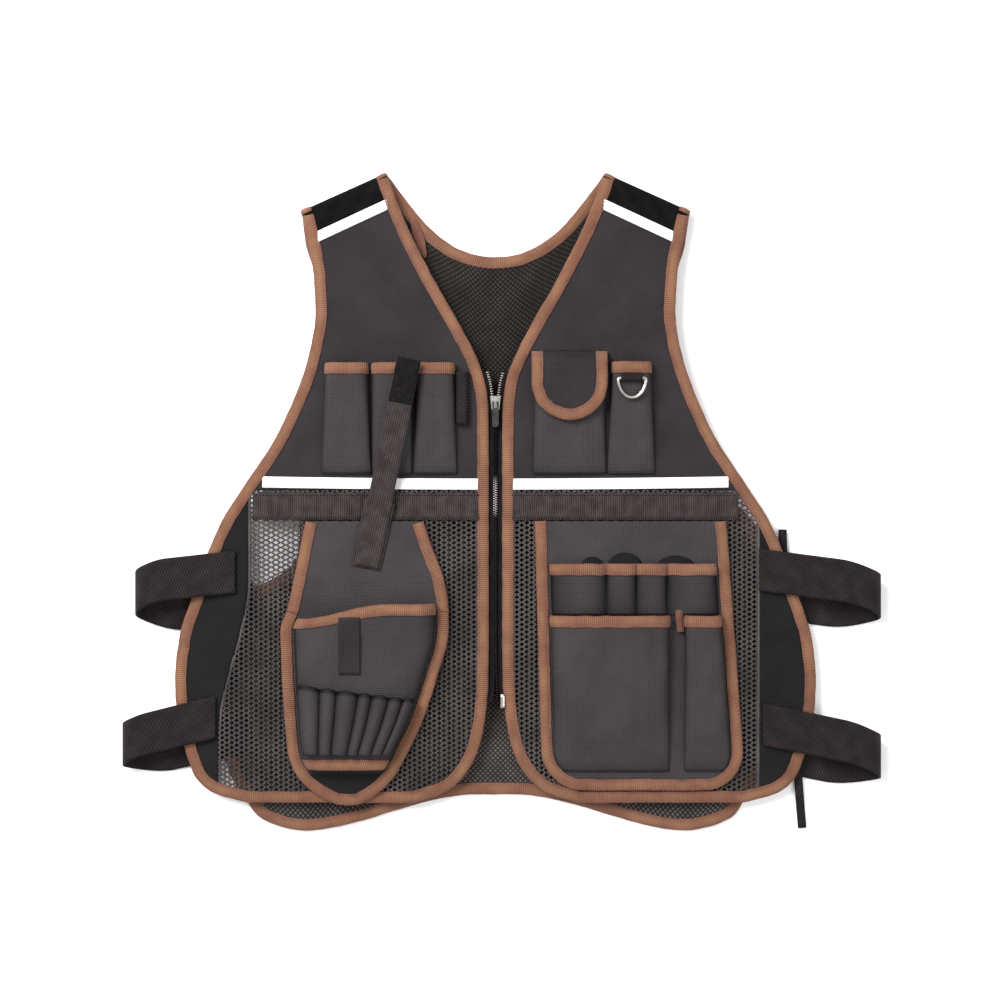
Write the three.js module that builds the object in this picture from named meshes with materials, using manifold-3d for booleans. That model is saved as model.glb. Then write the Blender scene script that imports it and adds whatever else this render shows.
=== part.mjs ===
// Utility work vest, lying on its back as it is laid out flat: a net back, two fronts closed by a zip,
// folded shoulders, a bound edge all round, patch pockets, a tool holster, a tool pouch and four side straps.
// Millimetres. +Z is up, out of the chest; +Y points to the neck; +X is to the right of someone facing it.
// Heights are worked out from one gently domed surface that the fronts follow, so all that is sewn on
// the fronts follows it too. Left and right are as seen from the front.
import * as THREE from "three";
import { mergeVertices } from "three/addons/utils/BufferGeometryUtils.js";
import Module from "manifold-3d";

const solid = await Module();
solid.setup();

// Driving dimensions of the body of the vest
const FRONT_LENGTH = 600; // shoulder fold to front hem
const HALF_WIDTH = 305; // zip line to the widest point of the side
const NECK_HALF = 104; // zip line to the neck end of the shoulder fold
const ZIP_HALF_GAP = 6.2; // zip line to the bound edge of a front
const HEM_BELOW_DATUM = 288; // front hem below the middle of the part's length
const SHOULDER_DROP = 37; // how much lower the fold ends at the armhole than at the neck
const SHOULDER_LINE = 82; // width of the fold, measured square to the zip
const PATCH_LENGTH = 34; // shoulder patch in front of the fold
const PATCH_TURN = 30; // shoulder patch behind the fold
const SEAM_BELOW_NECK = 303; // shoulder fold to the seam between yoke and net
const SIDE_SEAM = 254; // zip line to the seam between net and side patch

// Cloth, binding and clearances
const CLOTH = 1.5; // wall of every cloth piece
const TAPE = 1; // one turn of the edge binding
const BINDING_WIDTH = 11; // how far the binding covers the cloth
const WEBBING = 1.8; // straps and waist band
const GAP = 0.35; // between neighbouring pieces
const TUCK = 2.4; // from the outside of a binding to the cloth's own edge
const BACK_LIFT = TAPE + GAP; // height of the back's underside
const EDGE_HEIGHT = 9; // underside of the fronts at their edges
const LOFT = 13; // extra height in the middle of the chest

// Back
const BACK_HALF_WIDTH = 249;
const BACK_NECK_DROP = 80; // neck end of the shoulder fold to the lowest point of the back neckline
const BACK_HEM_DROP = 28; // how far the back hangs below the front hem at its two lobes
const BACK_HEM_RISE = 35; // how much higher the hem is in the middle of the back than at its lobes
const LOBE_AT = 178; // zip line to the lowest point of a lobe

// Bands across the fronts
const REFLECTOR_WIDTH = 10.5;
const CHEST_REFLECTOR_Y = 15; // middle of the chest strip
const WAIST_BAND_WIDTH = 26;
const WAIST_BAND_Y = -6; // middle of the waist band

// Zip
const ZIP_TOP = 122;
const ZIP_BOTTOM = -192;
const CHAIN_WIDTH = 5.6;
const CHAIN_THICKNESS = 2.4;
const ZIP_TAPE_WIDTH = 19;
const SLIDER_Y = 92;
const SLIDER = { width: 10, length: 13, thickness: 4.6 };
const BRIDGE = { half: 3.4, height: 3.8, bar: 1.1, width: 1.6 }; // arch over the slider that holds the pull
const PULL = { width: 6, length: 24, thickness: 1.6, eyeWidth: 3, eyeLength: 4 };

// Chest pockets
const CHEST_MOUTH_Y = 130;
const CHEST_FLOOR_Y = 25;
const CHEST_DEPTH = 12;
const CHEST_POCKETS = [
  { name: "outer", centre: -141, width: 42, flare: 8 },
  { name: "middle", centre: -98, width: 40, flare: 0 },
  { name: "inner", centre: -57, width: 37, flare: 7 },
];
const PEN_LOOP = { centre: -31.5, width: 12, depth: 7, top: 121, bottom: 72 };
const FLAP_POCKET = { centre: 70, width: 68, flare: 4, depth: 10 };
const FLAP = { width: 72, length: 66, top: 141, clear: 2 };
const TOOL_POCKET = { centre: 128.5, width: 39, flare: 9, mouth: 131 };
const D_RING = { inside: 25, drop: 17, wire: 3.2, y: 115 };
const D_TAB_WIDTH = 20;

// Drop strap that hangs over the chest pockets
const DROP_STRAP = { width: 23, topX: -79, topY: 131, endX: -122, endY: -63, over: 3.5 };

// Holster and tool pouch
const PLATE_TOP_Y = WAIST_BAND_Y - WAIST_BAND_WIDTH / 2 - 1; // both hang from under the waist band
const HOLSTER_DEPTH = { mouth: 22, waist: 15, foot: 12 };
const HOLSTER = { centre: -124, topWidth: 112, shoulderWidth: 160, shoulderY: -104, bottomY: -290 };
const HOLSTER_BASE_Y = -254; // lower edge of the holster's front
const BIT_SLEEVES = { count: 7, top: -178, length: 62, depth: 8 };
const POUCH = { centre: 128, topWidth: 182, bottomWidth: 194, lean: 13, bottomY: -276, corner: 40 };
const SMALL_MOUTH_Y = -60;
const SMALL_DEPTH = 9;
const SMALL_SPLITS = [105, 133, 162];
const LARGE_MOUTH_Y = -109;
const LARGE_DEPTH = 15;
const LARGE_POCKET_RIGHT = 166;
const NARROW_POCKET_LEFT = 178;
const POCKET_FLOOR_Y = -257;

// Side straps and the loose tape behind the right side
const STRAP_WIDTH = 40;
const STRAP_LOOP_HEIGHT = 24; // how high the loops stand
const SIDE_STRAPS = [
  { name: "upper_left", side: -1, sewn: 247, reach: 342, y: -68, slope: -0.11, drop: 30 },
  { name: "lower_left", side: -1, sewn: 266, reach: 354, y: -206, slope: -0.24, drop: 22 },
  { name: "upper_right", side: 1, sewn: 250, reach: 366, y: -66, slope: -0.13, drop: 26 },
  { name: "lower_right", side: 1, sewn: 254, reach: 366, y: -213, slope: -0.2, drop: 24 },
];
const SIDE_TAPE = { width: 8, top: -28, bottom: -313, topX: 278, bottomX: 297, thickness: 1.2 };

// Colours from the photograph
const FINISH = {
  oxford: new THREE.MeshStandardMaterial({ color: 0x454142, roughness: 0.85, metalness: 0 }),
  net: new THREE.MeshStandardMaterial({ color: 0x383433, roughness: 0.9, metalness: 0 }),
  patch: new THREE.MeshStandardMaterial({ color: 0x1b1b1b, roughness: 0.95, metalness: 0 }),
  binding: new THREE.MeshStandardMaterial({ color: 0x9b6f58, roughness: 0.8, metalness: 0 }),
  reflector: new THREE.MeshStandardMaterial({ color: 0xf2f2f0, roughness: 0.4, metalness: 0 }),
  webbing: new THREE.MeshStandardMaterial({ color: 0x39312f, roughness: 0.85, metalness: 0 }),
  zip: new THREE.MeshStandardMaterial({ color: 0x262223, roughness: 0.6, metalness: 0 }),
  metal: new THREE.MeshStandardMaterial({ color: 0xb8b4b2, roughness: 0.3, metalness: 1 }),
};

// Sections of a front, from the shoulder fold down. down: share of FRONT_LENGTH;
// inner: share of the way from the zip edge out to NECK_HALF; outer: share of HALF_WIDTH.
const FRONT_SECTIONS = [
  { down: 0, inner: 1, outer: 0.641 },
  { down: 0.051, inner: 0.883, outer: 0.613 },
  { down: 0.1, inner: 0.756, outer: 0.589 },
  { down: 0.141, inner: 0.629, outer: 0.572 },
  { down: 0.186, inner: 0.483, outer: 0.563 },
  { down: 0.227, inner: 0.335, outer: 0.56 },
  { down: 0.271, inner: 0.19, outer: 0.572 },
  { down: 0.306, inner: 0.088, outer: 0.589 },
  { down: 0.338, inner: 0.029, outer: 0.61 },
  { down: 0.376, inner: 0.004, outer: 0.641 },
  { down: 0.424, inner: 0, outer: 0.687 },
  { down: 0.494, inner: 0, outer: 0.778 },
  { down: 0.554, inner: 0, outer: 0.854 },
  { down: 0.614, inner: 0, outer: 0.905 },
  { down: 0.678, inner: 0, outer: 0.949 },
  { down: 0.741, inner: 0, outer: 0.988 },
  { down: 0.805, inner: 0.005, outer: 1 },
  { down: 0.844, inner: 0.02, outer: 0.997 },
  { down: 0.892, inner: 0.063, outer: 0.981 },
  { down: 0.929, inner: 0.132, outer: 0.961 },
  { down: 0.96, inner: 0.254, outer: 0.936 },
  { down: 0.983, inner: 0.424, outer: 0.886 },
  { down: 1, inner: 0.737, outer: 0.778 },
];
// Side edge of the back. down: share of the way from the shoulder fold to the lobes; out: share of BACK_HALF_WIDTH.
const BACK_SECTIONS = [
  { down: 0, out: 0.775 },
  { down: 0.06, out: 0.757 },
  { down: 0.107, out: 0.731 },
  { down: 0.155, out: 0.692 },
  { down: 0.21, out: 0.665 },
  { down: 0.29, out: 0.68 },
  { down: 0.36, out: 0.73 },
  { down: 0.44, out: 0.82 },
  { down: 0.52, out: 0.9 },
  { down: 0.6, out: 0.95 },
  { down: 0.7, out: 0.985 },
  { down: 0.82, out: 1 },
  { down: 0.9, out: 0.985 },
  { down: 0.945, out: 0.955 },
  { down: 1, out: 0.9 },
];

const NECK_Y = FRONT_LENGTH - HEM_BELOW_DATUM; // neck end of the shoulder fold
const HEM_Y = -HEM_BELOW_DATUM;
const SEAM_Y = NECK_Y - SEAM_BELOW_NECK;
const BACK_HEM_Y = HEM_Y - BACK_HEM_DROP;
const BACK_LENGTH = NECK_Y - BACK_HEM_Y;

const lerp = THREE.MathUtils.lerp;
const clamp = THREE.MathUtils.clamp;
const smooth = (t) => clamp(t, 0, 1) ** 2 * (3 - 2 * clamp(t, 0, 1));
const point = (x, y, z) => new THREE.Vector3(x, y, z);
const share = (i, count) => i / (count - 1);

// Smooth value through a table's rows at a given place, by cubic pieces with limited slopes.
function along(table, column, key, at) {
  const last = table.length - 1;
  const i = clamp(table.findIndex((row) => row[column] > at) - 1, 0, last - 1);
  const k = at >= table[last][column] ? last - 1 : i;
  const slope = (j) => {
    if (j <= 0 || j >= last) return 0;
    const before = (table[j][key] - table[j - 1][key]) / (table[j][column] - table[j - 1][column]);
    const after = (table[j + 1][key] - table[j][key]) / (table[j + 1][column] - table[j][column]);
    return before * after <= 0 ? 0 : (2 * before * after) / (before + after);
  };
  const width = table[k + 1][column] - table[k][column];
  const end = (j) => (j === 0 || j === last ? (table[k + 1][key] - table[k][key]) / width : slope(j));
  const t = clamp((at - table[k][column]) / width, 0, 1);
  const rise = table[k + 1][key] - table[k][key];
  const a = end(k) * width - rise;
  const b = rise - end(k + 1) * width;
  return table[k][key] + t * rise + t * (1 - t) * (a * (1 - t) + b * t);
}

const innerEdge = (y) =>
  ZIP_HALF_GAP + (NECK_HALF - ZIP_HALF_GAP) * along(FRONT_SECTIONS, "down", "inner", (NECK_Y - y) / FRONT_LENGTH);
const outerEdge = (y) => HALF_WIDTH * along(FRONT_SECTIONS, "down", "outer", (NECK_Y - y) / FRONT_LENGTH);
const backEdge = (y) => BACK_HALF_WIDTH * along(BACK_SECTIONS, "down", "out", (NECK_Y - y) / BACK_LENGTH);

// Underside of the fronts: a shallow dome over the back.
function underside(x, y) {
  const across = 1 - (x / (HALF_WIDTH * 1.05)) ** 2;
  const lengthwise = 1 - (y / (FRONT_LENGTH * 0.55)) ** 2;
  return EDGE_HEIGHT + LOFT * clamp(across, 0, 1) * clamp(lengthwise, 0, 1);
}
const skin = (x, y) => underside(x, y) + CLOTH;

// Closed geometry from vertices and triangles, turned so that its faces point out.
function closed(vertices, triangles) {
  let volume = 0;
  for (const [a, b, c] of triangles) {
    volume += vertices[a].dot(vertices[b].clone().cross(vertices[c]));
  }
  const geometry = new THREE.BufferGeometry();
  geometry.setFromPoints(vertices);
  geometry.setIndex(triangles.flatMap(([a, b, c]) => (volume > 0 ? [a, b, c] : [a, c, b])));
  geometry.computeVertexNormals();
  return geometry;
}

// Wall between two grids of the same shape: rows of points on its upper and on its lower face.
function wall(upper, lower) {
  const rows = upper.length;
  const columns = upper[0].length;
  const vertices = [...upper.flat(), ...lower.flat()];
  const top = (r, c) => r * columns + c;
  const under = (r, c) => rows * columns + top(r, c);
  const triangles = [];
  const quad = (a, b, c, d) => triangles.push([a, b, c], [a, c, d]);
  for (let r = 0; r < rows - 1; r++) {
    for (let c = 0; c < columns - 1; c++) {
      quad(top(r, c), top(r, c + 1), top(r + 1, c + 1), top(r + 1, c));
      quad(under(r, c), under(r + 1, c), under(r + 1, c + 1), under(r, c + 1));
    }
    quad(top(r, 0), top(r + 1, 0), under(r + 1, 0), under(r, 0));
    quad(top(r + 1, columns - 1), top(r, columns - 1), under(r, columns - 1), under(r + 1, columns - 1));
  }
  for (let c = 0; c < columns - 1; c++) {
    quad(top(0, c + 1), top(0, c), under(0, c), under(0, c + 1));
    quad(top(rows - 1, c), top(rows - 1, c + 1), under(rows - 1, c + 1), under(rows - 1, c));
  }
  return closed(vertices, triangles);
}

// Level cloth over a plan grid: rows of [x, y], lying at the height that the function gives.
function cloth(plan, height, thickness = CLOTH) {
  const lift = (extra) => plan.map((row) => row.map(([x, y]) => point(x, y, height(x, y) + extra)));
  return wall(lift(thickness), lift(0));
}

// Draws both ends of a binding back a little, so that it clears its neighbours.
function drawnBack(stations, distance) {
  const pull = (end, next) => end.at.addScaledVector(next.at.clone().sub(end.at).normalize(), distance);
  pull(stations[0], stations[1]);
  pull(stations[stations.length - 1], stations[stations.length - 2]);
  return stations;
}

// One closed solid from pieces that run into each other.
function joined(...pieces) {
  const parts = pieces.map((piece) => {
    const plain = new THREE.BufferGeometry();
    plain.setAttribute("position", piece.getAttribute("position"));
    const { attributes, index } = mergeVertices(plain, 1e-4);
    const triVerts = new Uint32Array(index.array);
    return new solid.Manifold(new solid.Mesh({ numProp: 3, vertProperties: attributes.position.array, triVerts }));
  });
  const { vertProperties, triVerts } = solid.Manifold.union(parts).getMesh();
  const geometry = new THREE.BufferGeometry();
  geometry.setAttribute("position", new THREE.BufferAttribute(vertProperties, 3));
  geometry.setIndex(new THREE.BufferAttribute(triVerts, 1));
  return geometry;
}

// Solid of one section, given as [across, up] pairs, carried along stations {at, across, up}.
function sweep(stations, section, loop = false) {
  const vertices = stations.flatMap(({ at, across, up }) =>
    section.map(([a, u]) => at.clone().addScaledVector(across, a).addScaledVector(up, u)),
  );
  const corners = section.length;
  const count = stations.length;
  const triangles = [];
  for (let s = 0; s < (loop ? count : count - 1); s++) {
    for (let c = 0; c < corners; c++) {
      const next = (c + 1) % corners;
      const ahead = ((s + 1) % count) * corners;
      const here = s * corners;
      triangles.push([here + c, here + next, ahead + next], [here + c, ahead + next, ahead + c]);
    }
  }
  if (!loop) {
    const contour = section.map(([a, u]) => new THREE.Vector2(a, u));
    const turned = THREE.ShapeUtils.isClockWise(contour);
    for (const [a, b, c] of THREE.ShapeUtils.triangulateShape(contour, [])) {
      const cap = turned ? [a, b, c] : [c, b, a];
      const end = (count - 1) * corners;
      triangles.push(turned ? [cap[2], cap[1], cap[0]] : cap);
      triangles.push((turned ? cap : [...cap].reverse()).map((v) => v + end));
    }
  }
  return closed(vertices, triangles);
}

// Binding folded round a cloth edge: the outside of the fold lies on the stations,
// and two flanges reach over and under cloth of the given thickness.
function bindingSection(covered = CLOTH, width = BINDING_WIDTH) {
  const half = covered / 2 + GAP;
  const out = half + TAPE;
  return [
    [0, -out],
    [width, -out],
    [width, -half],
    [TAPE, -half],
    [TAPE, half],
    [width, half],
    [width, out],
    [0, out],
  ];
}
const stripSection = (width, thickness) => [
  [0, 0],
  [width, 0],
  [width, thickness],
  [0, thickness],
];

// Stations along a plan line of [x, y] on a surface, with "across" square to it on the side of the given sign.
function level(line, height, side) {
  const last = line.length - 1;
  const way = (i) =>
    new THREE.Vector2(line[i + 1][0] - line[i][0], line[i + 1][1] - line[i][1]).normalize();
  return line.map(([x, y], i) => {
    const before = way(Math.max(i - 1, 0));
    const after = way(Math.min(i, last - 1));
    const mean = before.clone().add(after).normalize();
    const mitre = 1 / Math.max(mean.dot(after), 0.6);
    const across = new THREE.Vector2(-mean.y, mean.x).multiplyScalar(side);
    const here = height(x, y);
    const inside = height(x + across.x * BINDING_WIDTH, y + across.y * BINDING_WIDTH);
    const rise = (inside - here) / BINDING_WIDTH;
    const up = point(-rise * across.x, -rise * across.y, 1).normalize();
    across.multiplyScalar(mitre);
    return { at: point(x, y, here), across: point(across.x, across.y, rise * mitre), up };
  });
}

const vest = new THREE.Group();
function add(name, geometry, finish) {
  const mesh = new THREE.Mesh(geometry, FINISH[finish]);
  mesh.name = name;
  vest.add(mesh);
  return mesh;
}

const steps = (from, to, count) => Array.from({ length: count }, (_, i) => lerp(from, to, share(i, count)));
const mirror = (plan, side) => plan.map((row) => row.map(([x, y]) => [side * x, y]));

// Place square to an edge at the given distance; by the tuck, a cloth's edge lies inside its binding.
function tucked(edge, y, inward, distance = TUCK) {
  const slope = (edge(y + 1) - edge(y - 1)) / 2;
  return edge(y) + inward * distance * Math.min(Math.hypot(1, slope), 3);
}

// Shoulder: the fold line, its two ends, and the direction square to it
const FOLD_NECK = [NECK_HALF, NECK_Y];
const FOLD_ARM = [NECK_HALF + SHOULDER_LINE, NECK_Y - SHOULDER_DROP];
const foldWay = new THREE.Vector2(SHOULDER_LINE, -SHOULDER_DROP).normalize();
const foldOut = new THREE.Vector2(-foldWay.y, foldWay.x);
// A line square to the straps, a distance below the fold, from edge to edge of the front.
function shoulderLine(below) {
  const neckY = FOLD_NECK[1] - below * foldOut.y;
  const armY = FOLD_ARM[1] - below * foldOut.y * 0.8;
  return { neckY, armY };
}
const seamLine = shoulderLine(PATCH_LENGTH);
const backMiddleHeight = BACK_LIFT + CLOTH / 2;
const frontMiddle = (x, y) => underside(x, y) + CLOTH / 2;
const FOLD_STEPS = 5;

// Each end of the fold is a half round of its own from the front's height to the back's.
function foldEnd([x, y]) {
  const radius = (frontMiddle(x, y) - backMiddleHeight) / 2;
  return (turn) => {
    const out = radius * (Math.sin(turn) - 1) - CLOTH / 2;
    const height = backMiddleHeight + radius * (1 + Math.cos(turn));
    return [x + out * foldOut.x, y + out * foldOut.y, height];
  };
}
const foldNeck = foldEnd(FOLD_NECK);
const foldArm = foldEnd(FOLD_ARM);

// Middle surface of the shoulder patch as stations of two edge points and a normal, from its seam
// on the front, over the fold, to its seam on the back. inset draws both edges in.
function shoulderStations(side, inset, turns) {
  const stations = [];
  const put = (neck, arm, normal) => {
    const way = new THREE.Vector2(arm[0] - neck[0], arm[1] - neck[1]).normalize();
    const place = ([x, y, z], sign) =>
      point(side * (x + sign * inset * way.x), y + sign * inset * way.y, z);
    stations.push({ neck: place(neck, 1), arm: place(arm, -1), normal, way: point(side * way.x, way.y, 0) });
  };
  const raised = (x, y) => [x, y, frontMiddle(x, y)];
  const { neckY, armY } = seamLine;
  put(raised(innerEdge(neckY), neckY), raised(outerEdge(armY), armY), point(0, 0, 1));
  for (const turn of turns) {
    const normal = point(side * foldOut.x * Math.sin(turn), foldOut.y * Math.sin(turn), Math.cos(turn));
    put(foldNeck(turn), foldArm(turn), normal);
  }
  const back = ([x, y]) => [x, y, backMiddleHeight];
  put(back(BACK_NECK_END), back(BACK_ARM_END), point(0, 0, -1));
  return stations;
}
const backTurn = (end, pull) => [end[0] - pull, end[1] - PATCH_TURN];
const BACK_NECK_END = backTurn(FOLD_NECK, 8);
const BACK_ARM_END = backTurn(FOLD_ARM, 4);

function addShoulder(side, name) {
  const stations = shoulderStations(side, TUCK, steps(0, Math.PI, FOLD_STEPS + 1));
  const offset = (distance) =>
    stations.map(({ neck, arm, normal }, i) =>
      [0, 0.5, 1].map((t) => {
        const pull = i === 0 ? TUCK / 2 : 0;
        return neck.clone().lerp(arm, t).addScaledVector(normal, distance).add(point(0, pull, 0));
      }),
    );
  add("shoulder_patch_" + name, wall(offset(CLOTH / 2), offset(-CLOTH / 2)), "patch");
}

// Yoke: the solid upper front, from the patch seam to the seam over the net
const YOKE_ROWS = 11;
const YOKE_COLUMNS = 6;
function addYoke(side, name) {
  const plan = steps(0, 1, YOKE_ROWS).map((v) => {
    const neckY = lerp(seamLine.neckY - GAP, SEAM_Y + GAP, v);
    const armY = lerp(seamLine.armY - GAP, SEAM_Y + GAP, v);
    const from = tucked(innerEdge, neckY, 1);
    const to = tucked(outerEdge, armY, -1);
    return steps(0, 1, YOKE_COLUMNS).map((u) => [lerp(from, to, u), lerp(neckY, armY, u)]);
  });
  add("yoke_" + name, cloth(mirror(plan, side), underside), "oxford");
}

// Rows down the lower front, closer together in the rounded corners of the hem
const LOWER_TOP = SEAM_Y;
const LOWER_BOTTOM = HEM_Y + TUCK;
const lowerRow = (v) => lerp(LOWER_TOP, LOWER_BOTTOM, 1 - (1 - v) ** 1.6);
const NET_ROWS = 12;
const NET_COLUMNS = 6;
function addNet(side, name) {
  const plan = steps(0, 1, NET_ROWS).map((v) => {
    const y = lowerRow(v);
    const from = tucked(innerEdge, y, 1);
    const to = Math.min(tucked(outerEdge, y, -1), SIDE_SEAM);
    return steps(0, 1, NET_COLUMNS).map((u) => [lerp(from, to, u), y]);
  });
  add("net_" + name, cloth(mirror(plan, side), underside), "net");
}

const SIDE_ROWS = 10;
function addSidePatch(side, name) {
  const rows = steps(0, 1, 60).map((v) => lowerRow(v));
  const wide = rows.filter((y) => tucked(outerEdge, y, -1) > SIDE_SEAM + 4);
  const plan = steps(wide[0], wide[wide.length - 1], SIDE_ROWS).map((y) =>
    steps(SIDE_SEAM + GAP, tucked(outerEdge, y, -1), 3).map((x) => [x, y]),
  );
  add("side_patch_" + name, cloth(mirror(plan, side), underside), "oxford");
}

// Edge binding of a front: down the neck and the zip edge, round the hem, up the side and the armhole
const EDGE_STEPS = [
  { from: 0, to: 0.36, count: 9 },
  { from: 0.42, to: 0.8, count: 4 },
  { from: 0.83, to: 0.99, count: 9 },
];
const SIDE_STEPS = [
  { from: 0.99, to: 0.86, count: 8 },
  { from: 0.8, to: 0.12, count: 13 },
];
function frontOutline() {
  const start = foldNeck(0).slice(0, 2);
  const end = foldArm(0).slice(0, 2);
  const runs = (list) => list.flatMap(({ from, to, count }) => steps(from, to, count));
  const down = (t) => NECK_Y - t * FRONT_LENGTH;
  const inner = runs(EDGE_STEPS)
    .map(down)
    .filter((y) => y < start[1] - BINDING_WIDTH)
    .map((y) => [innerEdge(y), y]);
  const outer = runs(SIDE_STEPS)
    .map(down)
    .filter((y) => y < end[1] - BINDING_WIDTH)
    .map((y) => [outerEdge(y), y]);
  const hem = [innerEdge(HEM_Y), outerEdge(HEM_Y)].map((x) => [x, HEM_Y]);
  return [start, ...inner, ...hem, ...outer, end];
}
function addFrontBinding(side, name) {
  const line = frontOutline().map(([x, y]) => [side * x, y]);
  const stations = drawnBack(level(line, frontMiddle, side), BINDING_WIDTH / 3);
  for (const [end, sign] of [[stations[0], 1], [stations[stations.length - 1], -1]]) {
    const along = point(side * foldWay.x * sign, foldWay.y * sign, 0);
    end.across = along.divideScalar(along.dot(end.across.clone().setZ(0).normalize())).setZ(end.across.z);
  }
  add("front_binding_" + name, sweep(stations, bindingSection()), "binding");
}

// Back: a grid from the neckline and shoulders down to the lobed hem
const BACK_HALF_COLUMNS = [0, 0.12, 0.21, 0.29, 0.36, 0.57, 0.79, 1];
const BACK_COLUMNS = [...BACK_HALF_COLUMNS.slice(1).map((u) => -u).reverse(), ...BACK_HALF_COLUMNS];
const BACK_ROWS = 12;
const NECK_SHARE = 0.36; // share of the columns that end at the neckline
const NECK_BOTTOM_Y = NECK_Y - BACK_NECK_DROP;
const neckline = (x) => {
  const rise = BACK_NECK_END[1] - NECK_BOTTOM_Y;
  return NECK_BOTTOM_Y + rise * Math.min(Math.abs(x) / BACK_NECK_END[0], 1) ** 2.6;
};
function backHem(x) {
  const near = Math.abs(x) / LOBE_AT;
  const middle = BACK_HEM_Y + BACK_HEM_RISE * (1 - smooth(near * 1.05 - 0.1));
  return near > 1 ? BACK_HEM_Y + (Math.abs(x) - LOBE_AT) ** 2 * 0.0055 : middle;
}
const HEM_CORNER = 0.93; // share of BACK_HALF_WIDTH where the hem turns up into the side
function backTop(u, inset) {
  const a = Math.abs(u);
  if (a <= NECK_SHARE) {
    const x = (BACK_NECK_END[0] * a) / NECK_SHARE;
    return [x + (inset * a) / NECK_SHARE, neckline(x) - inset];
  }
  const t = (a - NECK_SHARE) / (1 - NECK_SHARE);
  const x = lerp(BACK_NECK_END[0] + inset, BACK_ARM_END[0] - inset, t);
  return [x, lerp(BACK_NECK_END[1], BACK_ARM_END[1], t) - 2 * GAP];
}
function addBack() {
  const corner = HEM_CORNER * BACK_HALF_WIDTH - TUCK * 1.5;
  const plan = steps(0, 1, BACK_ROWS).map((v) =>
    BACK_COLUMNS.map((u) => {
      const side = Math.sign(u);
      const [topX, topY] = backTop(u, TUCK);
      const bottomX = corner * Math.abs(u);
      const bottomY = backHem(bottomX) + TUCK * 1.2;
      const y = lerp(topY, bottomY, v);
      const limit = backEdge(y) - TUCK * 1.3;
      const reach = lerp(topX / (backEdge(topY) - TUCK * 1.3), bottomX / (backEdge(bottomY) - TUCK * 1.3), smooth(v));
      return [side * Math.min(limit * reach, limit), y];
    }),
  );
  add("back_net", cloth(plan, () => BACK_LIFT), "net");
}

// Bindings of the back start on the front side of the fold, so they carry the edge over the shoulder
function overFold(side, end) {
  return shoulderStations(side, 0, [0.3, 0.9, 1.5, 2.1, 2.6, Math.PI])
    .slice(1, -1)
    .map(({ neck, arm, normal, way }) => {
      const atNeck = end === "neck";
      return {
        at: (atNeck ? neck : arm).clone(),
        across: way.clone().multiplyScalar(atNeck ? 1 : -1),
        up: normal.clone().negate(),
      };
    });
}
function addBackBindings() {
  const flatBack = () => backMiddleHeight;
  const down = ({ at, across, up }) => ({ at, across, up: up.clone() });
  const fold = (side, end) => overFold(side, end).slice(0).map(down);
  const neckLine = steps(-1, 1, 17).map((t) => {
    const x = t * BACK_NECK_END[0];
    return [x, neckline(x)];
  });
  const neck = [...fold(-1, "neck"), ...level(neckLine, flatBack, -1), ...fold(1, "neck").reverse()];
  add("back_neck_binding", sweep(drawnBack(neck, GAP), bindingSection()), "binding");

  const cornerX = HEM_CORNER * BACK_HALF_WIDTH;
  const sideLine = steps(BACK_ARM_END[1], backHem(cornerX) + 34, 13).map((y) => [backEdge(y), y]);
  const round = steps(0.25, 1, 4).map((t) => {
    const y = lerp(backHem(cornerX) + 34, backHem(cornerX) + 3, t);
    return [lerp(backEdge(y), cornerX + 1, t * t), y];
  });
  const hemLine = steps(cornerX - 8, 0, 12).map((x) => [x, backHem(x)]);
  const half = [...sideLine, ...round, ...hemLine];
  const whole = [...half, ...half.slice(0, -1).map(([x, y]) => [-x, y]).reverse()];
  const edge = [...fold(1, "arm"), ...level(whole, flatBack, -1), ...fold(-1, "arm").reverse()];
  add("back_edge_binding", sweep(drawnBack(edge, GAP), bindingSection()), "binding");
}

// Bands that lie on the fronts between their bindings
const insideInner = (y) => innerEdge(y) + BINDING_WIDTH + GAP;
const insideOuter = (y) => outerEdge(y) - (BINDING_WIDTH + GAP) * Math.hypot(1, outerEdge(y + 1) - outerEdge(y));
const onSkin = (x, y) => skin(x, y) + GAP;
function addBands(side, name) {
  const band = (middleY, width, lift) =>
    steps(middleY + width / 2, middleY - width / 2, 2).map((y) => {
      const to = insideOuter(middleY + width / 2) - TUCK;
      return steps(insideInner(y), to, 9).map((x) => [x, y + lift * (x / HALF_WIDTH) ** 2]);
    });
  const strip = mirror(band(CHEST_REFLECTOR_Y, REFLECTOR_WIDTH, 4), side);
  add("chest_reflector_" + name, cloth(strip, onSkin, TAPE), "reflector");
  const waist = mirror(band(WAIST_BAND_Y, WAIST_BAND_WIDTH, 0), side);
  add("waist_band_" + name, cloth(waist, onSkin, WEBBING), "webbing");

  const { neckY, armY } = seamLine;
  const plan = [REFLECTOR_WIDTH / 2, -REFLECTOR_WIDTH / 2].map((shift) => {
    const from = [innerEdge(neckY) + BINDING_WIDTH + 2 * TUCK, neckY + shift];
    const to = [outerEdge(armY) - BINDING_WIDTH - 2 * TUCK, armY + shift];
    return steps(0, 1, 4).map((u) => [side * lerp(from[0], to[0], u), lerp(from[1], to[1], u)]);
  });
  add("shoulder_reflector_" + name, cloth(plan, onSkin, TAPE), "reflector");
}

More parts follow.
